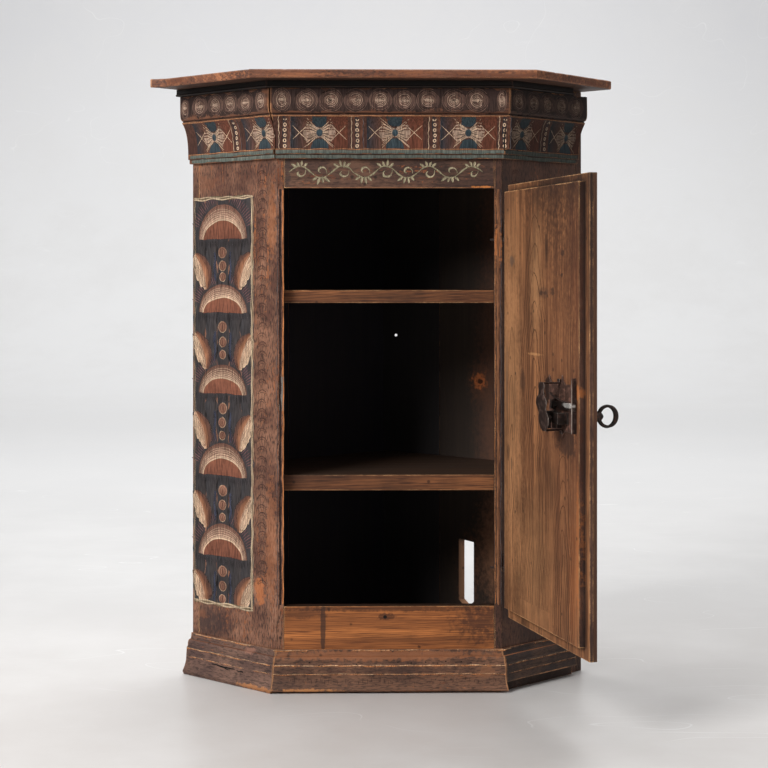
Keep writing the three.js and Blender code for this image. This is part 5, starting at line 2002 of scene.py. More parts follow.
@dataclass
class Plinth:
    """The moulded foot in three lengths: the front one clears the floor, the right one has lost its toe."""

    plan: Plan
    height: float = 0.061
    foot_reach: float = 0.0185
    toe_reach: float = 0.021
    toe_height: float = 0.005
    waist_reach: float = 0.0135
    waist_height: float = 0.027
    shoulder_height: float = 0.04
    quirk: float = 0.002
    top_reach: float = 0.003
    front_lift: float = 0.003
    broken_height: float = 0.015
    broken_reach: float = 0.005
    arris_lines: tuple[tuple[float, float], ...] = ((0.0596, 0.0018), (0.0394, 0.0022), (0.0272, 0.0012))
    hole_height: float = 0.0425
    hole_places: tuple[float, ...] = (
        -0.118, -0.1, -0.046, 0.012, 0.031, 0.052, 0.071, 0.083, 0.101, 0.118, 0.137)
    crack_parts: tuple[tuple[float, float, float, float], ...] = (
        (-0.128, -0.076, 0.0226, 0.0024), (-0.072, -0.044, 0.0212, 0.002), (-0.1, -0.086, 0.0205, 0.0012))

    def upper(self) -> list[tuple[float, float]]:
        """The outline from the toe up: a hollow to the waist, a shoulder, a quirk and an ogee.

        Returns:
            The points of the outline.
        """
        ogee_low = self.shoulder_height + self.quirk
        shoulder = self.waist_reach - self.quirk / 2
        ogee_reach = shoulder - self.quirk
        middle = ((ogee_reach + self.top_reach) / 2, (ogee_low + self.height) / 2)
        bend = (self.waist_reach, (self.toe_height + self.waist_height) / 2)
        points = bent((self.toe_reach, self.toe_height), bend, (self.waist_reach, self.waist_height), 10)
        points += [(shoulder, self.shoulder_height), (ogee_reach, ogee_low)]
        points += bent((ogee_reach, ogee_low), (ogee_reach, middle[1]), middle, 6)[1:]
        return points + bent(middle, (self.top_reach, middle[1]), (self.top_reach, self.height), 6)[1:]

    def outline(self, lift: float = 0.0, broken: bool = False) -> np.ndarray:
        """The closed outline, cut off below a lift, or with its toe broken away.

        Args:
            lift: the height below which it is cut off.
            broken: whether its toe is broken away.

        Returns:
            The points of the outline.
        """
        upper = self.upper()
        if broken:
            upper = [point for point in upper if point[1] > self.broken_height]
            foot = [(0, 0), (self.broken_reach, 0), (self.broken_reach, self.broken_height),
                    (upper[0][0] + 0.0006, self.broken_height)]
        else:
            foot = [(0, lift), (self.foot_reach + lift / 2, lift)]
        return np.array([*foot, *upper, (0, self.height)])

    def build(self) -> None:
        """Sweeps and paints the three lengths."""
        plan = self.plan
        bare = {"light": (164, 104, 66), "dark": (104, 62, 42), "rubbed": (190, 144, 104), "reach": 0.0024,
                "edge": 0.6, "ring_share": 0.5}
        # The right length's paint is darker, as painted shade.
        paints = {"front": OldPaint((84, 60, 49), (124, 88, 68), (FRONT_OUT,), cover=0.66, hatch=0.6),
                  "left": OldPaint((84, 62, 56), (124, 94, 80), (LEFT_OUT,), cover=0.74, hatch=0.6),
                  "right": OldPaint((50, 38, 34), (80, 58, 46), (RIGHT_OUT,), cover=0.85, hatch=0.6)}
        outlines = {"front": self.outline(self.front_lift), "left": self.outline(),
                    "right": self.outline(broken=True)}
        spots = {"left": plan.side_face(-1).spots(
                     (-0.052, 0.052, (0.014, 0.014, 0.006), (150, 106, 88)),
                     (-0.02, 0.004, (0.05, 0.05, 0.004), (186, 124, 76), 0.7, 0.9)),
                 "front": plan.front_face().spots(
                     (-0.02, 0.0525, (0.18, 0.04, 0.0075), (150, 96, 64), 0.7, 0.9),
                     (0.02, 0.0325, (0.13, 0.04, 0.0045), (64, 46, 40), 0.5, 0.9),
                     (-0.12, 0.005, (0.05, 0.04, 0.003), (190, 128, 78), 0.8, 0.9),
                     (0.14, 0.03, (0.012, 0.04, 0.012), (146, 98, 68), 0.5, 0.9))}
        runs = three_runs(plan, "plinth", 71, unevenness=0.0005, wave=0.18)
        for seed, (key, run) in enumerate(runs.items(), 80):
            finish = Pine(**bare, paint=paints[key], patches=spots.get(key, ()))
            material = finish.material(run.node, LEVEL_GRAINS[key], seed)
            adopt(run.sweep(outlines[key]), run.node, material, stands_for=True)
            self.arrises(key, run, 96 + 10 * seed)
        self.holes(runs["front"])
        self.crack(runs["left"])

    def arrises(self, key: str, run: Run, seed: int) -> None:
        """Where the paint has gone from the arrises: broken pale lines along top, shoulder and waist.

        Args:
            key: which length it is: front, left or right.
            run: the length.
            seed: picks the unevenness of the strokes.
        """
        # The right length's lines are dimmed as painted shade.
        work = self.ornament(f"{run.node}_arrises", run, seed, 0.85 if key == "right" else 1.0)
        pale = work.brush("pale", Palette.arris, 2)
        warm = work.brush("warm", replace(Palette.ember, dryness=0.62), 1)
        ends = {"front": (run.start - 0.005, run.end + 0.005), "left": (run.start + 0.001, run.end),
                "right": (run.start, run.end - 0.001)}[key]
        for height, width in self.arris_lines:
            points = np.linspace(*ends, 60)
            for brush, shift, share in ((warm, -0.0009, 1.3), (pale, 0.0, 1.0)):
                line = height + shift + drift(points, int(brush.hand.integers(999)), 0.0004, 0.07)
                press = 0.5 + 0.6 * drift(points, int(brush.hand.integers(999)), 1.0, 0.035)
                brush.stroke(paired(points, line), width * share * np.clip(press, 0.05, 1) / 2,
                             tremor=0.0002)
        work.dry()

    def holes(self, run: Run) -> None:
        """Small dark holes along the shoulder, and scratches below it.

        Args:
            run: the length that they are in.
        """
        work = self.ornament("plinth_holes", run, 93)
        brush = work.brush("dots", BrushPaint((26, 18, 15), (30, 21, 17), 0.1, 0.0, 0.0), 3)
        hand = brush.hand
        for along in self.hole_places:
            centre = (along + hand.normal(0, 0.002), self.hole_height + hand.normal(0, 0.0016))
            brush.disc(centre, 0.0011, 0.0009, 7)
        for along in np.arange(-0.15, 0.16, 0.0062):
            foot = 0.012 + 0.006 * hand.random()
            end = (along + hand.normal(0, 0.0006), foot + 0.009 * hand.random())
            brush.line((along, foot), end, 0.0005, 4)
        work.dry()

    def ornament(self, name: str, run: Run, seed: int, light: float = 1.0) -> Ornament:
        """Paint or wear that follows the plinth's own outline."""
        return Ornament(name, replace(run.face, reach=self.reach_at), run.node, seed, light=light)

    def reach_at(self, height: np.ndarray) -> np.ndarray:
        """How far the plinth stands out at a height."""
        points = np.array(self.upper())
        return np.interp(height, points[:, 1] + np.arange(len(points)) * 1e-7, points[:, 0])

    def crack(self, run: Run) -> None:
        """A long crack along the left length's waist.

        Args:
            run: the length that it is in.
        """
        work = self.ornament("plinth_crack", run, 95)
        brush = work.brush("line", BrushPaint((10, 8, 7), (12, 9, 8), 0.02, 0.0, 0.0), 2)
        taper = np.sin(np.linspace(0.1, math.pi - 0.1, 24)) ** 0.6
        for low, high, height, width in self.crack_parts:
            along = np.linspace(low, high, len(taper))
            rise = np.interp(along, [low, high], [0.0006, -0.0006])
            brush.stroke(paired(along, height + rise), width / 2 * taper, tremor=0.0005)
        work.dry()


@dataclass
class TopBoards:
    """The two planks of the top board, with chipped and rounded arrises."""

    arris: float = 0.0014
    chip: float = 0.0016
    step: float = 0.005

    def outline(self, node: str) -> np.ndarray:
        """The plank's outline from above: the corners of its upper face in order round their middle.

        Args:
            node: the plank's node.

        Returns:
            The points of the outline.
        """
        places = corners(node)
        flat = np.unique(np.round(places[places[:, 2] > places[:, 2].max() - 1e-4][:, :2], 6), axis=0)
        around = flat - flat.mean(axis=0)
        return flat[np.argsort(np.arctan2(around[:, 1], around[:, 0]))]

    def build(self) -> None:
        """Builds each plank as rings of its outline, drawn in towards its upper and lower faces."""
        outer = (FRONT_OUT, LEFT_OUT, RIGHT_OUT)
        for seed, node in enumerate(("top_board_front", "top_board_rear"), 110):
            outline = self.outline(node)
            low, high = (corner.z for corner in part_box(node))
            edges = np.roll(outline, -1, axis=0) - outline
            runs, inwards = [], []
            for corner, edge in zip(outline, edges):
                length = float(np.linalg.norm(edge))
                share = np.arange(max(int(length / self.step), 1)) / max(int(length / self.step), 1)
                runs.append(corner + share[:, None] * edge)
                inwards.append(np.tile(np.array([-edge[1], edge[0]]) / length, (len(share), 1)))
            line, inward = np.concatenate(runs), np.concatenate(inwards)
            hand = np.random.default_rng(seed)
            wander = np.abs(drift(np.arange(len(line)) * self.step, seed, 0.0006, 0.22))
            chips = np.clip(hand.normal(-0.7, 0.7, (2, len(line))), 0, 1.6) * self.chip
            rings = []
            for share, upper in ((1.0, 0), (0.3, 0), (0.0, 0), (0.0, 1), (0.3, 1), (1.0, 1)):
                nick = chips[upper] * (0.25 + 0.75 * share)
                inset = wander + share * self.arris + nick
                drop = (1 - share) * (self.arris + 0.4 * chips[upper])
                height = high - drop if upper else low + drop
                flat = line + inward * inset[:, None]
                rings.append(np.column_stack([flat, np.broadcast_to(height, len(line))]))
            made = new_mesh(node + "_worn", *swept(np.stack(rings)))
            # Faces other than the outer edges and the top, the underside among them, darken: smoke, and
            # painted shade.
            finish = Pine(light=(176, 116, 80), dark=(112, 68, 48), rubbed=(200, 150, 112), reach=0.003,
                          paint=OldPaint((90, 60, 49), (128, 84, 64), outer, cover=0.4, hatch=0.5),
                          clean=(*outer, (0, 0, 1)), smoke_and_shade=(54, 42, 37), smoke_and_shade_share=0.85)
            adopt(made, node, finish.material(node, Grain.LEVEL_FLAT, seed), stands_for=True)


# Boards, door and iron


@dataclass
class Carcass:
    """The boards that carry everything: sides, rails, shelves and back planks."""

    plan: Plan
    bevel: float = 0.0007
    knot: Place = (0.1502, 0.2503, 0.4374)
    slot: Place = (0.1335, 0.267, 0.125)
    strip: tuple[float, float] = (0.125, 0.732)

    def dress(self, node: str, finish: Pine, grain: Grain, seed: int) -> None:
        """Shows a board with eased arrises and its own finish."""
        dress(node, self.bevel, finish.material(node, grain, seed), flat=True)

    def build(self) -> None:
        """Dresses each group of boards."""
        self.build_sides()
        self.build_rails()
        self.build_shelves()
        self.build_back()

    def build_sides(self) -> None:
        """The painted side boards, with orange wood where the paint has gone."""
        patches = self.plan.side_face(-1).spots(
            (-0.036, 0.142, (0.011, 0.011, 0.02), (186, 108, 58), 0.55, 1.0),
            (-0.01, 0.69, (0.01, 0.01, 0.05), (170, 104, 60), 0.35, 1.0),
            (-0.15, 0.745, (0.02, 0.02, 0.012), (150, 90, 58), 0.3, 1.0),
            (-0.012, 0.22, (0.012, 0.012, 0.1), (160, 98, 60), 0.35, 1.0),
            (-0.165, 0.084, (0.085, 0.085, 0.03), (54, 40, 38), 0.85, 0.5, 0.9),
            (-0.12, 0.75, (0.14, 0.14, 0.03), (84, 54, 44), 0.3, 0.5, 1.0),
            (-0.165, 0.092, (0.012, 0.012, 0.008), (150, 92, 60), 0.3, 1.0))
        shared = {"light": (172, 106, 64), "dark": (112, 64, 42), "smoke_and_shade": (26, 23, 23), "smoke_and_shade_share": 0.96}
        left_paint = OldPaint((92, 60, 48), (146, 104, 82), (LEFT_OUT, FRONT_OUT), cover=0.64, hatch=0.75)
        # The right board's paint is darker than the left as painted shade, for the side that lies beside the
        # door and faces away from the lamps.
        right_paint = OldPaint((72, 48, 39), (100, 68, 53), (RIGHT_OUT, FRONT_OUT), cover=0.76, hatch=0.7)
        jamb = Patch((0.159, self.plan.front, 0.65), (0.006, 0.02, 0.028), (190, 116, 66), 0.8, 1.0)
        left = Pine(**shared, paint=left_paint, clean=(LEFT_OUT, FRONT_OUT), patches=patches)
        right = Pine(**shared, paint=right_paint, clean=(RIGHT_OUT, FRONT_OUT), patches=(jamb,),
                     relief=0.00005)
        self.dress("side_board_left", left, Grain.UPRIGHT_LEFT_CANT, 11)
        self.dress("side_board_right", right, Grain.UPRIGHT_RIGHT_CANT, 12)
        size = ArcadeSize()
        for side, name in ((-1, "left"), (1, "right")):
            face = self.plan.side_face(side)
            Arcade(f"{name}_panel", face, f"side_board_{name}", 100 - 50 * side, side, size).build()
            CombColumn(f"{name}_combs", face, f"side_board_{name}", 200 + side, side, size).build()
            self.line_strip(side, name)

    def line_strip(self, side: int, name: str) -> None:
        """The narrow front edge of a side board: a grey-blue line at the corner, orange at the opening.

        Args:
            side: 1 on the right, -1 on the left.
            name: the side's name.
        """
        work = Ornament(f"{name}_strip", self.plan.front_face(), f"side_board_{name}", 210 + side)
        corner = side * (self.plan.half_front - 0.0012)
        inner = side * (self.plan.half_opening + 0.0013)
        low, high = self.strip
        work.brush("dusk_line", Palette.dusk, 1).upright(corner, low, high, 0.0012, wave=0.0003, pitch=0.07)
        glow = Palette.ember if side < 0 else replace(Palette.ember, left=(150, 94, 60), dryness=0.62)
        width = 0.0022 if side < 0 else 0.0016
        ember = work.brush("ember_line", glow, 1)
        ember.upright(inner, low + 0.002, high - 0.002, width, wave=0.0004, pitch=0.05)
        tone = Palette.umber if side < 0 else BrushPaint((162, 112, 78), (100, 64, 47), 0.44, 0.5)
        work.brush("middle_line", tone, 0).upright((corner + inner) / 2, low, high, 0.006)
        work.dry()

    def build_rails(self) -> None:
        """The bare bottom rail and the painted frieze."""
        front = self.plan.front_face()
        spots = front.spots(
            (-0.128, 0.115, (0.05, 0.02, 0.011), (70, 44, 36), 0.45, 0.8, 0.8),
            (0.138, 0.098, (0.05, 0.02, 0.036), (62, 40, 33), 0.75, 0.8, 0.9),
            (0.0, 0.12, (0.2, 0.02, 0.005), (60, 38, 28), 0.6, 0.9, 0.7),
            (-0.0965, 0.095, (0.0042, 0.02, 0.05), (58, 42, 36), 0.8, 0.25),
            (-0.004, 0.1086, (0.012, 0.02, 0.005), (66, 40, 28), 0.7, 0.9),
            (-0.006, 0.1076, (0.003, 0.02, 0.0026), (10, 8, 7), 1.0, 0.2))
        bottom = Pine((196, 122, 68), (100, 58, 35), ring_width=0.0026, ring_share=0.5, streak_share=0.65,
                      fibre_share=0.85, grime=0.9, patches=spots, clean=(FRONT_OUT,), smoke_and_shade=(30, 22, 18))
        self.dress("bottom_rail", bottom, Grain.LEVEL_FRONT, 21)
        spots = front.spots(
            (-0.149, 0.752, (0.006, 0.02, 0.03), (56, 48, 46), 0.5, 0.8),
            (0.0, 0.7343, (0.16, 0.02, 0.0012), (150, 94, 64), 0.25, 1.0),
            (0.138, 0.7352, (0.016, 0.02, 0.0018), (214, 132, 68), 0.8, 0.9))
        frieze = Pine((160, 96, 60), (104, 60, 42), clean=(FRONT_OUT,), smoke_and_shade=(26, 20, 17), patches=spots,
                      paint=OldPaint((70, 50, 43), (108, 78, 62), (FRONT_OUT,), cover=0.66, hatch=0.5),
                      ring_share=1.0)
        self.dress("top_rail", frieze, Grain.LEVEL_FRONT, 22)
        Vine("frieze_vine", front, "top_rail", 230, (-0.146, 0.136), 0.757).build()

    def build_shelves(self) -> None:
        """Shelves and floor: worn along their front edges, and dark behind from smoke and painted shade."""
        edge = {"light": (150, 96, 60), "dark": (64, 38, 27), "clean": (FRONT_OUT,), "ring_width": 0.0032,
                "ring_share": 0.6, "streak_share": 0.7, "fibre_share": 0.8, "grime": 1.0}
        # Their dark tones differ as painted shade: lightest on the lower shelf, darkest on the floor board.
        for node, seed, smoke_and_shade in (("lower_shelf", 31, (52, 40, 32)), ("upper_shelf", 32, (30, 23, 19)),
                                  ("floor_board", 33, (22, 17, 15))):
            self.dress(node, Pine(**edge, smoke_and_shade=smoke_and_shade, smoke_and_shade_share=0.9), Grain.LEVEL_FRONT, seed)

    def build_back(self) -> None:
        """The back planks: nearly black inside, with painted light on the right ones, and bare and
        grey-brown towards the wall.
        """
        ends = OldPaint((92, 60, 48), (146, 104, 82), (LEFT_OUT,), cover=0.64, hatch=0.75)
        # The right plank ends are darker as painted shade, like the right side board.
        shaded_right_ends = OldPaint((62, 42, 35), (88, 60, 47), (RIGHT_OUT,), cover=0.76, hatch=0.7)
        left = Pine(light=(142, 110, 82), dark=(98, 72, 54), smoke_and_shade=(46, 46, 52), smoke_and_shade_share=0.97,
                    clean=((-HALF_ROOT, HALF_ROOT, 0), LEFT_OUT), knots=0.5, edge=0.1, paint=ends)
        right = replace(left, paint=shaded_right_ends, clean=((HALF_ROOT, HALF_ROOT, 0), RIGHT_OUT))
        knot = Patch(self.knot, (0.017, 0.017, 0.0135), (196, 110, 62), 0.8, 1.0, 0.7)
        heart = Patch(self.knot, (0.006, 0.006, 0.005), (40, 26, 20), 0.9, 0.9)
        ring = Patch(self.knot, (0.028, 0.028, 0.04), (104, 68, 50), 0.6, 0.6, 1.0)
        # Painted light on the right wall: a lit strip down the middle plank, lighter at its foot and top,
        # and a lit edge and glow at the slot.
        light = Patch((0.18, 0.221, 0.42), (0.062, 0.062, 0.4), (100, 68, 53), 0.85, 0.35, 1.0)
        low = Patch((0.18, 0.221, 0.17), (0.056, 0.056, 0.1), (166, 118, 90), 0.9, 0.35, 1.0)
        top = Patch((0.172, 0.229, 0.7), (0.04, 0.04, 0.11), (120, 76, 56), 0.25, 0.5, 1.0)
        lit_reveal = Patch(self.slot, (0.04, 0.04, 0.08), (190, 136, 98), 1.0, 0.2)
        glow = Patch(self.slot, (0.024, 0.024, 0.074), (140, 92, 68), 0.6, 0.6, 0.9)
        middle = replace(right, smoke_and_shade=(52, 45, 41), smoke_and_shade_share=0.94, patches=(lit_reveal,),
                         late_patches=(light, low, top, glow, ring, knot, heart))
        # The right planks' darker tone eases from the inner one to the outer one: painted light falling in
        # through the opening.
        finishes = {"left_inner": left, "left_outer": left, "right_middle": middle,
                    "right_inner": replace(right, smoke_and_shade=(42, 40, 41), smoke_and_shade_share=0.97),
                    "right_outer": replace(right, smoke_and_shade=(98, 68, 54), smoke_and_shade_share=0.9, late_patches=(low,))}
        for seed, (place, finish) in enumerate(finishes.items(), 34):
            grain = Grain.UPRIGHT_LEFT_CANT if "right" in place else Grain.UPRIGHT_RIGHT_CANT
            self.dress(f"back_plank_{place}", finish, grain, seed)


@dataclass
class Door:
    """The open door: its board, the frame moulding on its front, and the paint between."""

    plan: Plan
    bevel: float = 0.0007
    moulding_bevel: float = 0.0005
    key_place: Place = (0.22361, -0.26742, 0.0)
    key_along: float = 0.26099
    rim: float = 0.062
    depth: float = 0.012
    rings: tuple[tuple[float, float, float, float, int], ...] = (
        (0.15, 0.705, 0.15, 0.06, 9), (0.052, 0.56, 0.125, 0.026, 4), (0.262, 0.38, 0.125, 0.04, 5))

    def build(self) -> None:
        """Dresses the board and its mouldings."""
        self.build_board()
        self.build_mouldings()

    def inner_spot(self, along: float, height: float) -> Place:
        """A place on the inner face, measured from the hinge axis."""
        way = (along - self.key_along) * np.array(DOOR_ALONG)
        return tuple(np.array(self.key_place) + way + height * UP)

    def build_board(self) -> None:
        """Golden pine inside, with knots, stains, a worn jamb and painted shadow under the lock bridge, and
        paint outside.
        """
        ink, grey, warm = (44, 32, 28), (92, 80, 72), (176, 108, 62)
        rust, gold = (88, 50, 34), (176, 128, 88)
        broad = (
            (0.05, 0.4, 0.075, 0.42, (188, 136, 94), 0.75), (0.25, 0.42, 0.095, 0.36, rust, 0.45),
            (0.23, 0.74, 0.24, 0.13, (44, 27, 20), 0.9), (0.265, 0.62, 0.085, 0.12, (62, 38, 28), 0.55),
            (0.155, 0.6, 0.035, 0.11, gold, 0.8), (0.14, 0.2, 0.12, 0.14, gold, 0.6),
            (0.31, 0.34, 0.04, 0.24, rust, 0.5), (0.31, 0.62, 0.045, 0.16, rust, 0.5),
            (0.3, 0.2, 0.03, 0.14, (150, 88, 50), 0.45), (0.105, 0.5, 0.02, 0.22, (112, 72, 50), 0.35),
            (0.02, 0.72, 0.06, 0.05, (84, 56, 42), 0.6), (0.01, 0.16, 0.05, 0.08, (84, 56, 42), 0.5))
        spots = (
            (0.176, 0.5815, 0.006, 0.004, ink, 0.9), (0.192, 0.5816, 0.006, 0.003, ink, 0.8),
            (0.222, 0.5844, 0.006, 0.006, ink, 0.7), (0.262, 0.635, 0.006, 0.004, ink, 0.7),
            (0.186, 0.5816, 0.03, 0.008, (84, 60, 46), 0.5), (0.15, 0.66, 0.004, 0.045, (70, 46, 34), 0.5),
            (0.0535, 0.6265, 0.009, 0.008, grey, 0.6), (0.031, 0.458, 0.003, 0.06, grey, 0.45),
            (0.277, 0.386, 0.04, 0.022, ink, 0.6), (0.317, 0.4533, 0.006, 0.01, warm, 0.8),
            # The near black spot at 0.204 and 0.449 is painted shadow under the lock bridge.
            (0.1, 0.457, 0.01, 0.017, (74, 52, 40), 0.7), (0.204, 0.449, 0.018, 0.02, (20, 15, 13), 0.97),
            (0.257, 0.606, 0.004, 0.003, ink, 0.8), (0.036, 0.352, 0.005, 0.012, (70, 50, 38), 0.6),
            (0.052, 0.335, 0.004, 0.012, (70, 50, 38), 0.6), (0.316, 0.26, 0.004, 0.09, warm, 0.6),
            (0.15, 0.497, 0.035, 0.002, (196, 144, 96), 0.5), (0.26, 0.42, 0.055, 0.05, (58, 38, 30), 0.45),
            (0.345, 0.44, 0.0075, 0.6, (50, 33, 26), 0.85), (0.385, 0.44, 0.006, 0.6, (72, 46, 35), 0.85),
            (0.366, 0.44, 0.011, 0.6, (92, 60, 44), 0.75), (0.366, 0.2, 0.011, 0.1, warm, 0.3),
            (0.366, 0.5, 0.009, 0.06, warm, 0.35))
        patches = tuple(Patch(self.inner_spot(along, height),
                              (max(wide * 0.4, self.depth), wide + 0.001, tall),
                              colour, strength, 0.5 if soft > 0.5 else 0.6, soft)
                        for listed, soft in ((broad, 1.1), (spots, 0.4))
                        for along, height, wide, tall, colour, strength in listed)
        paint = OldPaint((70, 50, 44), (98, 70, 58), (DOOR_OUT, tuple(DOOR_ALONG)), cover=0.85)
        finish = Pine((166, 114, 76), (80, 49, 33), patches=patches, paint=paint, grime=0.75, swerve=0.07,
                      knots=0.16, ring_width=0.0075, ring_share=0.5, streak_share=0.68, fibre_share=0.85)
        dress("door_board", self.bevel, finish.material("door_board", Grain.UPRIGHT_DOOR, 51), flat=True)
        self.paint_front()
        self.draw_rings()

    def paint_front(self) -> None:
        """The panel of three arches inside the frame moulding."""
        low, high = (corner.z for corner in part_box("door_board"))
        start, end = span("door_board", (0, 0, 0), DOOR_ALONG)
        width = end - start
        size = ArcadeSize(centre=width / 2, border=(self.rim, width - self.rim), foot=low + self.rim,
                          head=high - self.rim, half_width=0.078, pitch=0.15, springing=high - 0.146,
                          arches=((0.0, 0.072),) * 3)
        Arcade("door_panel", self.plan.door_face(), "door_board", 400, -1, size).build()

    def draw_rings(self) -> None:
        """Growth rings that a slanting cut has opened into tall arches, as thin lines on the inner face.

        An arch's half width grows with the square root of the way below its top, then runs straight.
        """
        inside = Face(self.inner_spot(0.0, 0.0), DOOR_ALONG, tuple(-np.array(DOOR_OUT)))
        work = Ornament("door_rings", inside, "door_board", 470)
        brush = work.brush("lines", BrushPaint((66, 40, 28), (76, 47, 33), 0.36, 0.3, 0.2), 0)
        share = np.linspace(0, 1, 90)
        for middle, top, foot, wide, count in self.rings:
            for index in range(count):
                grown = (index + 0.6) / count
                peak = foot + (top - foot) * (0.36 + 0.64 * grown)
                height = peak + (foot - peak) * share
                half = wide * grown**0.8 * np.minimum(np.sqrt(share * 2.2), 0.82 + 0.18 * share)
                bend = drift(height, 7 + int(middle * 1000), 0.004, 0.11)
                for side in (-1, 1):
                    path = paired(middle + bend + side * (half + 0.0006), height)
                    brush.stroke(path, 0.0005 + 0.0007 * brush.hand.random(), tremor=0.0003)
        work.dry()

    def build_mouldings(self) -> None:
        """The four mitred lengths on the front, painted a worn green."""
        paint = OldPaint((66, 70, 66), (92, 96, 88), (DOOR_OUT,), cover=0.84)
        finish = Pine(light=(160, 104, 68), dark=(110, 68, 46), paint=paint, clean=(DOOR_OUT,),
                      smoke_and_shade=(62, 43, 36), smoke_and_shade_share=0.85)
        names = sorted(name for name in frame["nodes"] if name.startswith("door_moulding"))
        for seed, node in enumerate(names, 52):
            grain = Grain.UPRIGHT_DOOR if node.endswith("side") else Grain.LEVEL_DOOR
            dress(node, self.moulding_bevel, finish.material(node, grain, seed))


@dataclass
class KeyBow:
    """The ring at the key's end, thick at its far side, and the pointed knob inside it."""

    stand: float = 0.0768
    half_length: float = 0.0145
    half_height: float = 0.01575
    thick: float = 0.0024
    breadths: tuple[float, float] = (0.0014, 0.0013)
    knob_length: float = 0.0112
    knob_sink: float = 0.0016

    def place(self, origin: np.ndarray, out: np.ndarray, height: np.ndarray,
              aside: np.ndarray) -> np.ndarray:
        """A place beside the key's axis: how far out, how high and how far aside."""
        sideways = aside[..., None] * np.array(DOOR_ALONG)
        return origin + out[..., None] * np.array(DOOR_OUT) + height[..., None] * UP + sideways

    def ring(self, origin: np.ndarray) -> tuple[np.ndarray, list]:
        """A tube round an oval: its outer edge keeps to the oval, and its breadth grows to the far side.

        Args:
            origin: a point on the key's axis, at the door's inner face.

        Returns:
            The vertices and the faces.
        """
        turn = np.linspace(0, 2 * math.pi, 72, endpoint=False)[:, None]
        round_turn = np.linspace(0, 2 * math.pi, 12, endpoint=False)[None, :]
        half_breadth = self.breadths[0] + self.breadths[1] * (0.5 + 0.5 * np.cos(turn)) ** 1.6
        inset = half_breadth * (1 - np.cos(round_turn))
        out = self.stand - self.half_length + (self.half_length - inset) * np.cos(turn)
        height = (self.half_height - inset) * np.sin(turn)
        aside = self.thick * np.sin(round_turn) + np.zeros_like(turn)
        rows, columns = out.shape
        faces = [list(face) for face in tube_faces(rows, columns)]
        last, ahead = (rows - 1) * columns, np.roll(np.arange(columns), -1)
        faces += [[last + i, last + int(ahead[i]), int(ahead[i]), i] for i in range(columns)]
        return self.place(origin, out, height, aside).reshape(-1, 3), faces

    def knob(self, origin: np.ndarray) -> tuple[np.ndarray, list]:
        """A flat heart whose point looks along the shank: its half height falls as it goes out.

        Args:
            origin: a point on the key's axis, at the door's inner face.

        Returns:
            The vertices and the faces.
        """
        share = np.linspace(0, 1, 14)[:, None]
        turn = np.linspace(0, 2 * math.pi, 14, endpoint=False)[None, :]
        swell = 0.0002 + 0.0074 * np.sin(math.pi * (0.22 + 0.78 * share)) ** 0.8
        start = self.stand - 2 * self.half_length - self.knob_sink
        out = start + self.knob_length * share + np.zeros_like(turn)
        return swept(self.place(origin, out, swell * np.sin(turn), np.minimum(swell, 0.0021) * np.cos(turn)))

    def build(self, axis: Sequence[float]) -> None:
        """Makes both as one piece, which turns with the key.

        Args:
            axis: a point on the key's axis, at the door's inner face.
        """
        origin = np.array(axis)
        made = new_mesh("key_bow", *merged([self.ring(origin), self.knob(origin)]), sharp_deg=IRON_SHARP_DEG)
        adopt(made, "key", Iron(base=(44, 38, 36), rust=0.6, rough=0.4).material("key_bow"))


def smoothed(values: np.ndarray, reach: int = 2) -> np.ndarray:
    """The mean of each value and its neighbours."""
    count = 2 * reach + 1
    return np.convolve(np.pad(values, reach, mode="edge"), np.ones(count) / count, mode="valid")


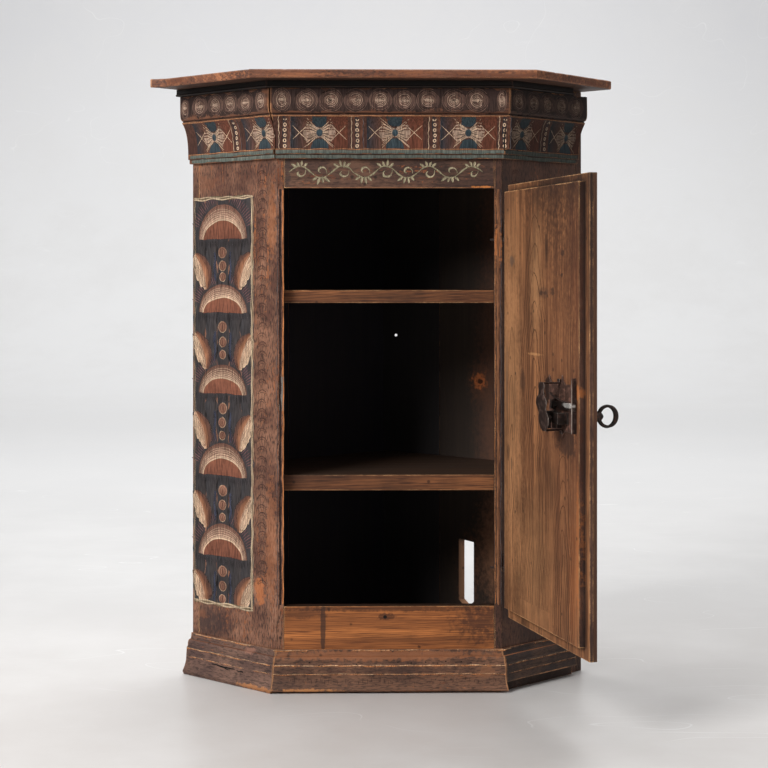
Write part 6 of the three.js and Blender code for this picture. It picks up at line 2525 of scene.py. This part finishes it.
@dataclass
class Bridge:
    """The forged bridge over the lock: a lobed plate with a leg and a foot at each end."""

    leg: float = 0.0045
    thickness: float = 0.0022
    bow: float = 0.0008
    inset: float = 0.0051
    lobes: tuple[Place, ...] = (
        (0.0, 0.006, 0.003), (0.05, 0.012, 0.003), (0.14, 0.018, 0.003), (0.25, 0.019, 0.003),
        (0.34, 0.017, 0.002), (0.4, 0.015, -0.001), (0.46, 0.016, -0.004), (0.56, 0.0205, -0.006),
        (0.66, 0.019, -0.006), (0.74, 0.011, -0.006), (0.8, 0.0085, -0.006), (0.88, 0.01, -0.006),
        (0.95, 0.012, -0.006), (1.0, 0.008, -0.006))

    def build(self, axis: Sequence[float]) -> None:
        """Carries a flat strip along the bent line from foot to foot, as wide as the lobes say.

        Args:
            axis: a point on the key's axis, at the door's inner face.
        """
        node = "lock_bridge"
        inwards = -np.array(DOOR_OUT)
        floor, face = span(node, axis, inwards)
        low, high = (corner.z - axis[2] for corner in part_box(node))
        foot, head = low + self.inset, high - self.inset
        share = np.linspace(0, 1, 80)
        bowed = face - self.thickness / 2 + self.bow * np.sin(math.pi * share)
        plate = paired(foot + (head - foot) * share, bowed)
        steps, widths, shifts = np.array(self.lobes).T
        wide, shift = (smoothed(np.interp(share, steps, values)) for values in (widths, shifts))
        flat, knee, shoulder, bend = floor + self.thickness / 2, floor + 0.003, face - 0.004, 0.001
        first = np.array([(low, flat), (foot - bend, flat), (foot, knee), (foot, shoulder)])
        last = np.array([(head, shoulder), (head, knee), (head + bend, flat), (high, flat)])
        path = np.concatenate([first, plate, last])
        half = np.pad(wide, len(first), constant_values=self.leg)
        middle = np.pad(shift, len(first), mode="edge")
        ahead = np.gradient(path, axis=0)
        ahead /= np.linalg.norm(ahead, axis=1, keepdims=True)
        normal = paired(-ahead[:, 1], ahead[:, 0]) * self.thickness / 2
        across = np.array([-1.0, -0.9, -0.45, 0.0, 0.45, 0.9, 1.0])
        ease = np.array([0.35, 0.9, 1.0, 1.0, 1.0, 0.9, 0.35])
        sheets = []
        for way in (1, -1):
            height = path[:, 0][:, None] + way * normal[:, 0][:, None] * ease
            depth = path[:, 1][:, None] + way * normal[:, 1][:, None] * ease
            aside = middle[:, None] + half[:, None] * across
            sideways = aside[..., None] * np.array(DOOR_ALONG)
            sheets.append(np.array(axis) + height[..., None] * UP + depth[..., None] * inwards + sideways)
        made = new_mesh("lock_bridge_forged", *closed_slab(*sheets), sharp_deg=IRON_SHARP_DEG)
        finish = Iron(base=(62, 48, 43), rust_tone=(74, 50, 40), rubbed=(176, 164, 154), rust=0.8,
                      reach=0.0012)
        adopt(made, node, finish.material("lock_bridge_forged"), stands_for=True)


class Ironwork:
    """Hooks, straps, strike plate, lock and key."""

    key_axis = (0.223614, -0.267424, 0.418)
    dark = ("hinge_hook_upper", "hinge_hook_lower", "hinge_strap_upper", "hinge_strap_lower", "escutcheon",
            "bolt_staple", "bolt_spring", "key")
    rimmed = ("lower_ward", "upper_ward")
    bevel = 0.0002

    def beside_axis(self, lock_side: float, rise: float, inwards: float) -> Place:
        """A place in the lock, measured from the key's axis at the door's inner face."""
        aside = lock_side * np.array(DOOR_ALONG)
        return tuple(np.array(self.key_axis) + aside + rise * UP - inwards * np.array(DOOR_OUT))

    def build(self) -> None:
        """Dresses each piece of iron."""
        for node in self.dark:
            dress(node, self.bevel, Iron().material(node))
        for node in self.rimmed:
            finish = Iron(base=(50, 42, 39), rubbed=(190, 180, 170), reach=0.0011, rust=0.5)
            dress(node, self.bevel, finish.material(node))
        # Painted shade on the forend's turned side, and a painted highlight along its arris.
        turned, edge = (Patch(self.beside_axis(aside, 0.0138, inwards), half, colour, strength, 0.1)
                        for aside, inwards, half, colour, strength in (
                            (0.0522, 0.003, (0.004, 0.003, 0.05), (34, 26, 24), 0.85),
                            (0.052, 0.0074, (0.0011, 0.004, 0.042), (176, 164, 154), 0.8)))
        plate = Iron(base=(92, 68, 59), rust_tone=(112, 75, 60), rust=0.9, rough=0.6, glints=(turned, edge))
        dress("lock_plate", self.bevel, plate.material("lock_plate"))
        worn = Iron(base=(128, 122, 116), rust_tone=(82, 66, 58), rust=0.5, rough=0.42,
                    rubbed=(196, 190, 184))
        dress("strike_plate", self.bevel, worn.material("strike_plate"))
        glint = Patch(self.beside_axis(0.034, 0.0178, 0.0), (0.02, 0.022, 0.004), (226, 222, 216), 1.0, 0.15)
        bolt = Iron(base=(58, 48, 44), rubbed=(150, 142, 134), rust=0.4, rough=0.38, glints=(glint,))
        dress("lock_bolt", self.bevel, bolt.material("lock_bolt"))
        Bridge().build(self.key_axis)
        KeyBow().build(self.key_axis)


@dataclass
class Fasteners:
    """The heads of the nails in the back planks, as one piece."""

    radius: float = 0.0028
    rise: float = 0.4
    heights: tuple[float, ...] = (0.052, 0.302, 0.576, 0.84)
    shares: tuple[float, ...] = (0.2, 0.8)
    profile: tuple[tuple[float, float], ...] = (
        (0.00002, 1.0), (0.45, 0.92), (0.85, 0.6), (1.0, 0.2), (1.0, -0.6))

    def build(self) -> None:
        """Two nails at each height of each plank."""
        outline = np.array(self.profile) * [self.radius, self.radius * self.rise]
        parts = []
        for node in sorted(name for name in frame["nodes"] if name.startswith("back_plank")):
            out = (HALF_ROOT if "right" in node else -HALF_ROOT, HALF_ROOT, 0)
            along = (-HALF_ROOT if "right" in node else HALF_ROOT, HALF_ROOT, 0)
            low, high = span(node, (0, 0, 0), along)
            back = span(node, (0, 0, 0), out)[1]
            for height in self.heights:
                for share in self.shares:
                    way = low + (high - low) * share
                    place = np.array(out) * back + np.array(along) * way + UP * height
                    parts.append(lathed(outline, place, np.array(out, dtype=float), 12))
        made = new_mesh("case_nails", *merged(parts), sharp_deg=IRON_SHARP_DEG)
        adopt(made, "bottom_rail", Iron(base=(44, 36, 33), rust=0.8, reach=0.0003).material("case_nails"))


# Studio


@dataclass
class Studio:
    """The camera as in the photograph, the pale backdrop and the soft lamps."""

    camera_place: Place = (-0.0573, -2.6658, 0.5982)
    camera_turn: float = -0.0187
    focal_pixels: float = 1820.2
    image_pixels: float = 768
    horizon_pixel: float = 280.75
    sensor: float = 36.0

    def build(self) -> None:
        """Sets up everything that isn't part of the cupboard."""
        self.add_camera()
        self.add_backdrop()
        self.add_lamps()

    def add_camera(self) -> None:
        """The camera looks level, and its shift puts the horizon where the photograph has it."""
        data = bpy.data.cameras.new("camera")
        data.sensor_width = self.sensor
        data.lens = self.focal_pixels / self.image_pixels * self.sensor
        data.shift_y = (self.horizon_pixel - self.image_pixels / 2) / self.image_pixels
        made = shown("camera", data)
        made.location = self.camera_place
        made.rotation_euler = (math.pi / 2, 0, self.camera_turn)
        bpy.context.scene.camera = made

    def add_backdrop(self) -> None:
        """A floor that bends up into a wall: flat, then a quarter turn, then upright."""
        bend, far, near, width, wall = 3.0, 9.0, -13.0, 18.0, 9.0
        turn = np.linspace(0, math.pi / 2, 24)
        level = np.linspace(near, far - bend, 12)[:-1]
        depth = np.concatenate([level, far - bend + bend * np.sin(turn), [far]])
        height = np.concatenate([np.zeros(len(level)), bend * (1 - np.cos(turn)), [wall]])
        across = np.linspace(-width, width, 5)
        places = np.stack(np.broadcast_arrays(across, depth[:, None], height[:, None]), axis=-1)
        mesh = bpy.data.meshes.new("backdrop")
        mesh.from_pydata(places.reshape(-1, 3).tolist(), [], grid_faces(len(depth), 5).tolist())
        mesh.shade_smooth()
        mesh.materials.append(self.backdrop_material())
        made = shown("backdrop", mesh)

    def backdrop_material(self) -> bpy.types.Material:
        """Pale painted concrete with a faint sheen and fine scratches, and painted light and shade in its
        tone.

        Returns:
            The material.
        """
        made, w, shader = new_material("backdrop")
        place = w.place()
        cloud = w.noise(place, scale=2.2, detail=7, rough=0.66)
        scratch = w.rise(w.noise(w.stretched(place, 3, 40, 3), detail=5, rough=0.7), 0.6, 0.75)
        noise = w.noise(w.stretched(place, 1.0, 2.6, 1), scale=1.7, detail=2)
        thread = w.math("ABSOLUTE", w.minus(noise, 0.5))
        thread = w.times(w.rise(thread, 0.0022, 0.0), w.rise(w.noise(place, scale=3.1, detail=2), 0.5, 0.56))
        _, depth, height = w.parts(place)
        # Darker on the near floor, brighter far back, dimmer up the wall: painted light and shade.
        level = w.mix(w.rise(depth, -0.9, 1.2), (204, 199, 195), (205, 204, 203))
        level = w.mix(w.rise(depth, 1.0, 3.5), level, (222, 222, 222))
        level = w.mix(w.rise(depth, 4.5, 7.5), level, (244, 244, 244))
        level = w.mix(w.rise(height, 0.4, 2.7), level, (222, 222, 224))
        colour = w.stain(level, (232, 231, 230), w.rise(cloud, 0.35, 0.7), 0.35)
        colour = w.stain(colour, (245, 245, 245), scratch, 0.12)
        colour = w.stain(colour, (250, 250, 250), thread, 0.4)
        w.feed_all(shader, {"Base Color": colour, "Roughness": w.between(cloud, 0.25, 0.5),
                            "Specular IOR Level": 0.35})
        return made

    def add_lamp(self, name: str, place: Sequence[float], aim: Sequence[float], size: float,
                 power: float) -> None:
        """One square soft lamp.

        Args:
            name: the lamp's name.
            place: where it hangs.
            aim: the point that it faces.
            size: the length of its side.
            power: its power in watts.
        """
        data = bpy.data.lights.new(name, "AREA")
        data.size = size
        data.energy = power
        made = shown(name, data)
        made.location = place
        made.rotation_euler = (Vector(aim) - Vector(place)).to_track_quat("-Z", "Y").to_euler()

    def add_lamps(self) -> None:
        """A large soft lamp at the front left, a weak one at the right, one behind, and the sky."""
        self.add_lamp("lamp_left", (-2.3, -2.4, 2.3), (0, 0, 0.45), 1.6, 136)
        self.add_lamp("lamp_right", (2.8, -2.2, 1.6), (0, 0, 0.5), 1.8, 4)
        self.add_lamp("lamp_top", (0, 0.8, 3.4), (0, 0.4, 0), 2.4, 60)
        self.add_lamp("lamp_back", (0, 3.8, 6.5), (0, 7.5, 1.4), 6.0, 330)
        world = bpy.data.worlds.new("studio")
        world.use_nodes = True
        w = Wiring(world.node_tree)
        background = world.node_tree.nodes["Background"]
        rays = w.node("LightPath").outputs
        seen = w.math("MAXIMUM", rays["Is Camera Ray"],
                      w.math("MAXIMUM", rays["Is Glossy Ray"], rays["Is Transmission Ray"]))
        w.feed_all(background, {"Color": (236, 236, 237), "Strength": w.between(seen, 0.24, 1.0)})
        bpy.context.scene.world = world
        bpy.context.scene.view_settings.view_transform = "Standard"


def main() -> None:
    """Builds every sub-assembly in order."""
    logging.basicConfig(level=logging.INFO, format="%(message)s")
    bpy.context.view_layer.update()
    plan = Plan()
    Studio().build()
    Carcass(plan).build()
    Cornice(plan).build()
    Crown(plan).build()
    Plinth(plan).build()
    TopBoards().build()
    Door(plan).build()
    Ironwork().build()
    Fasteners().build()


if __name__ == "__main__":
    main()
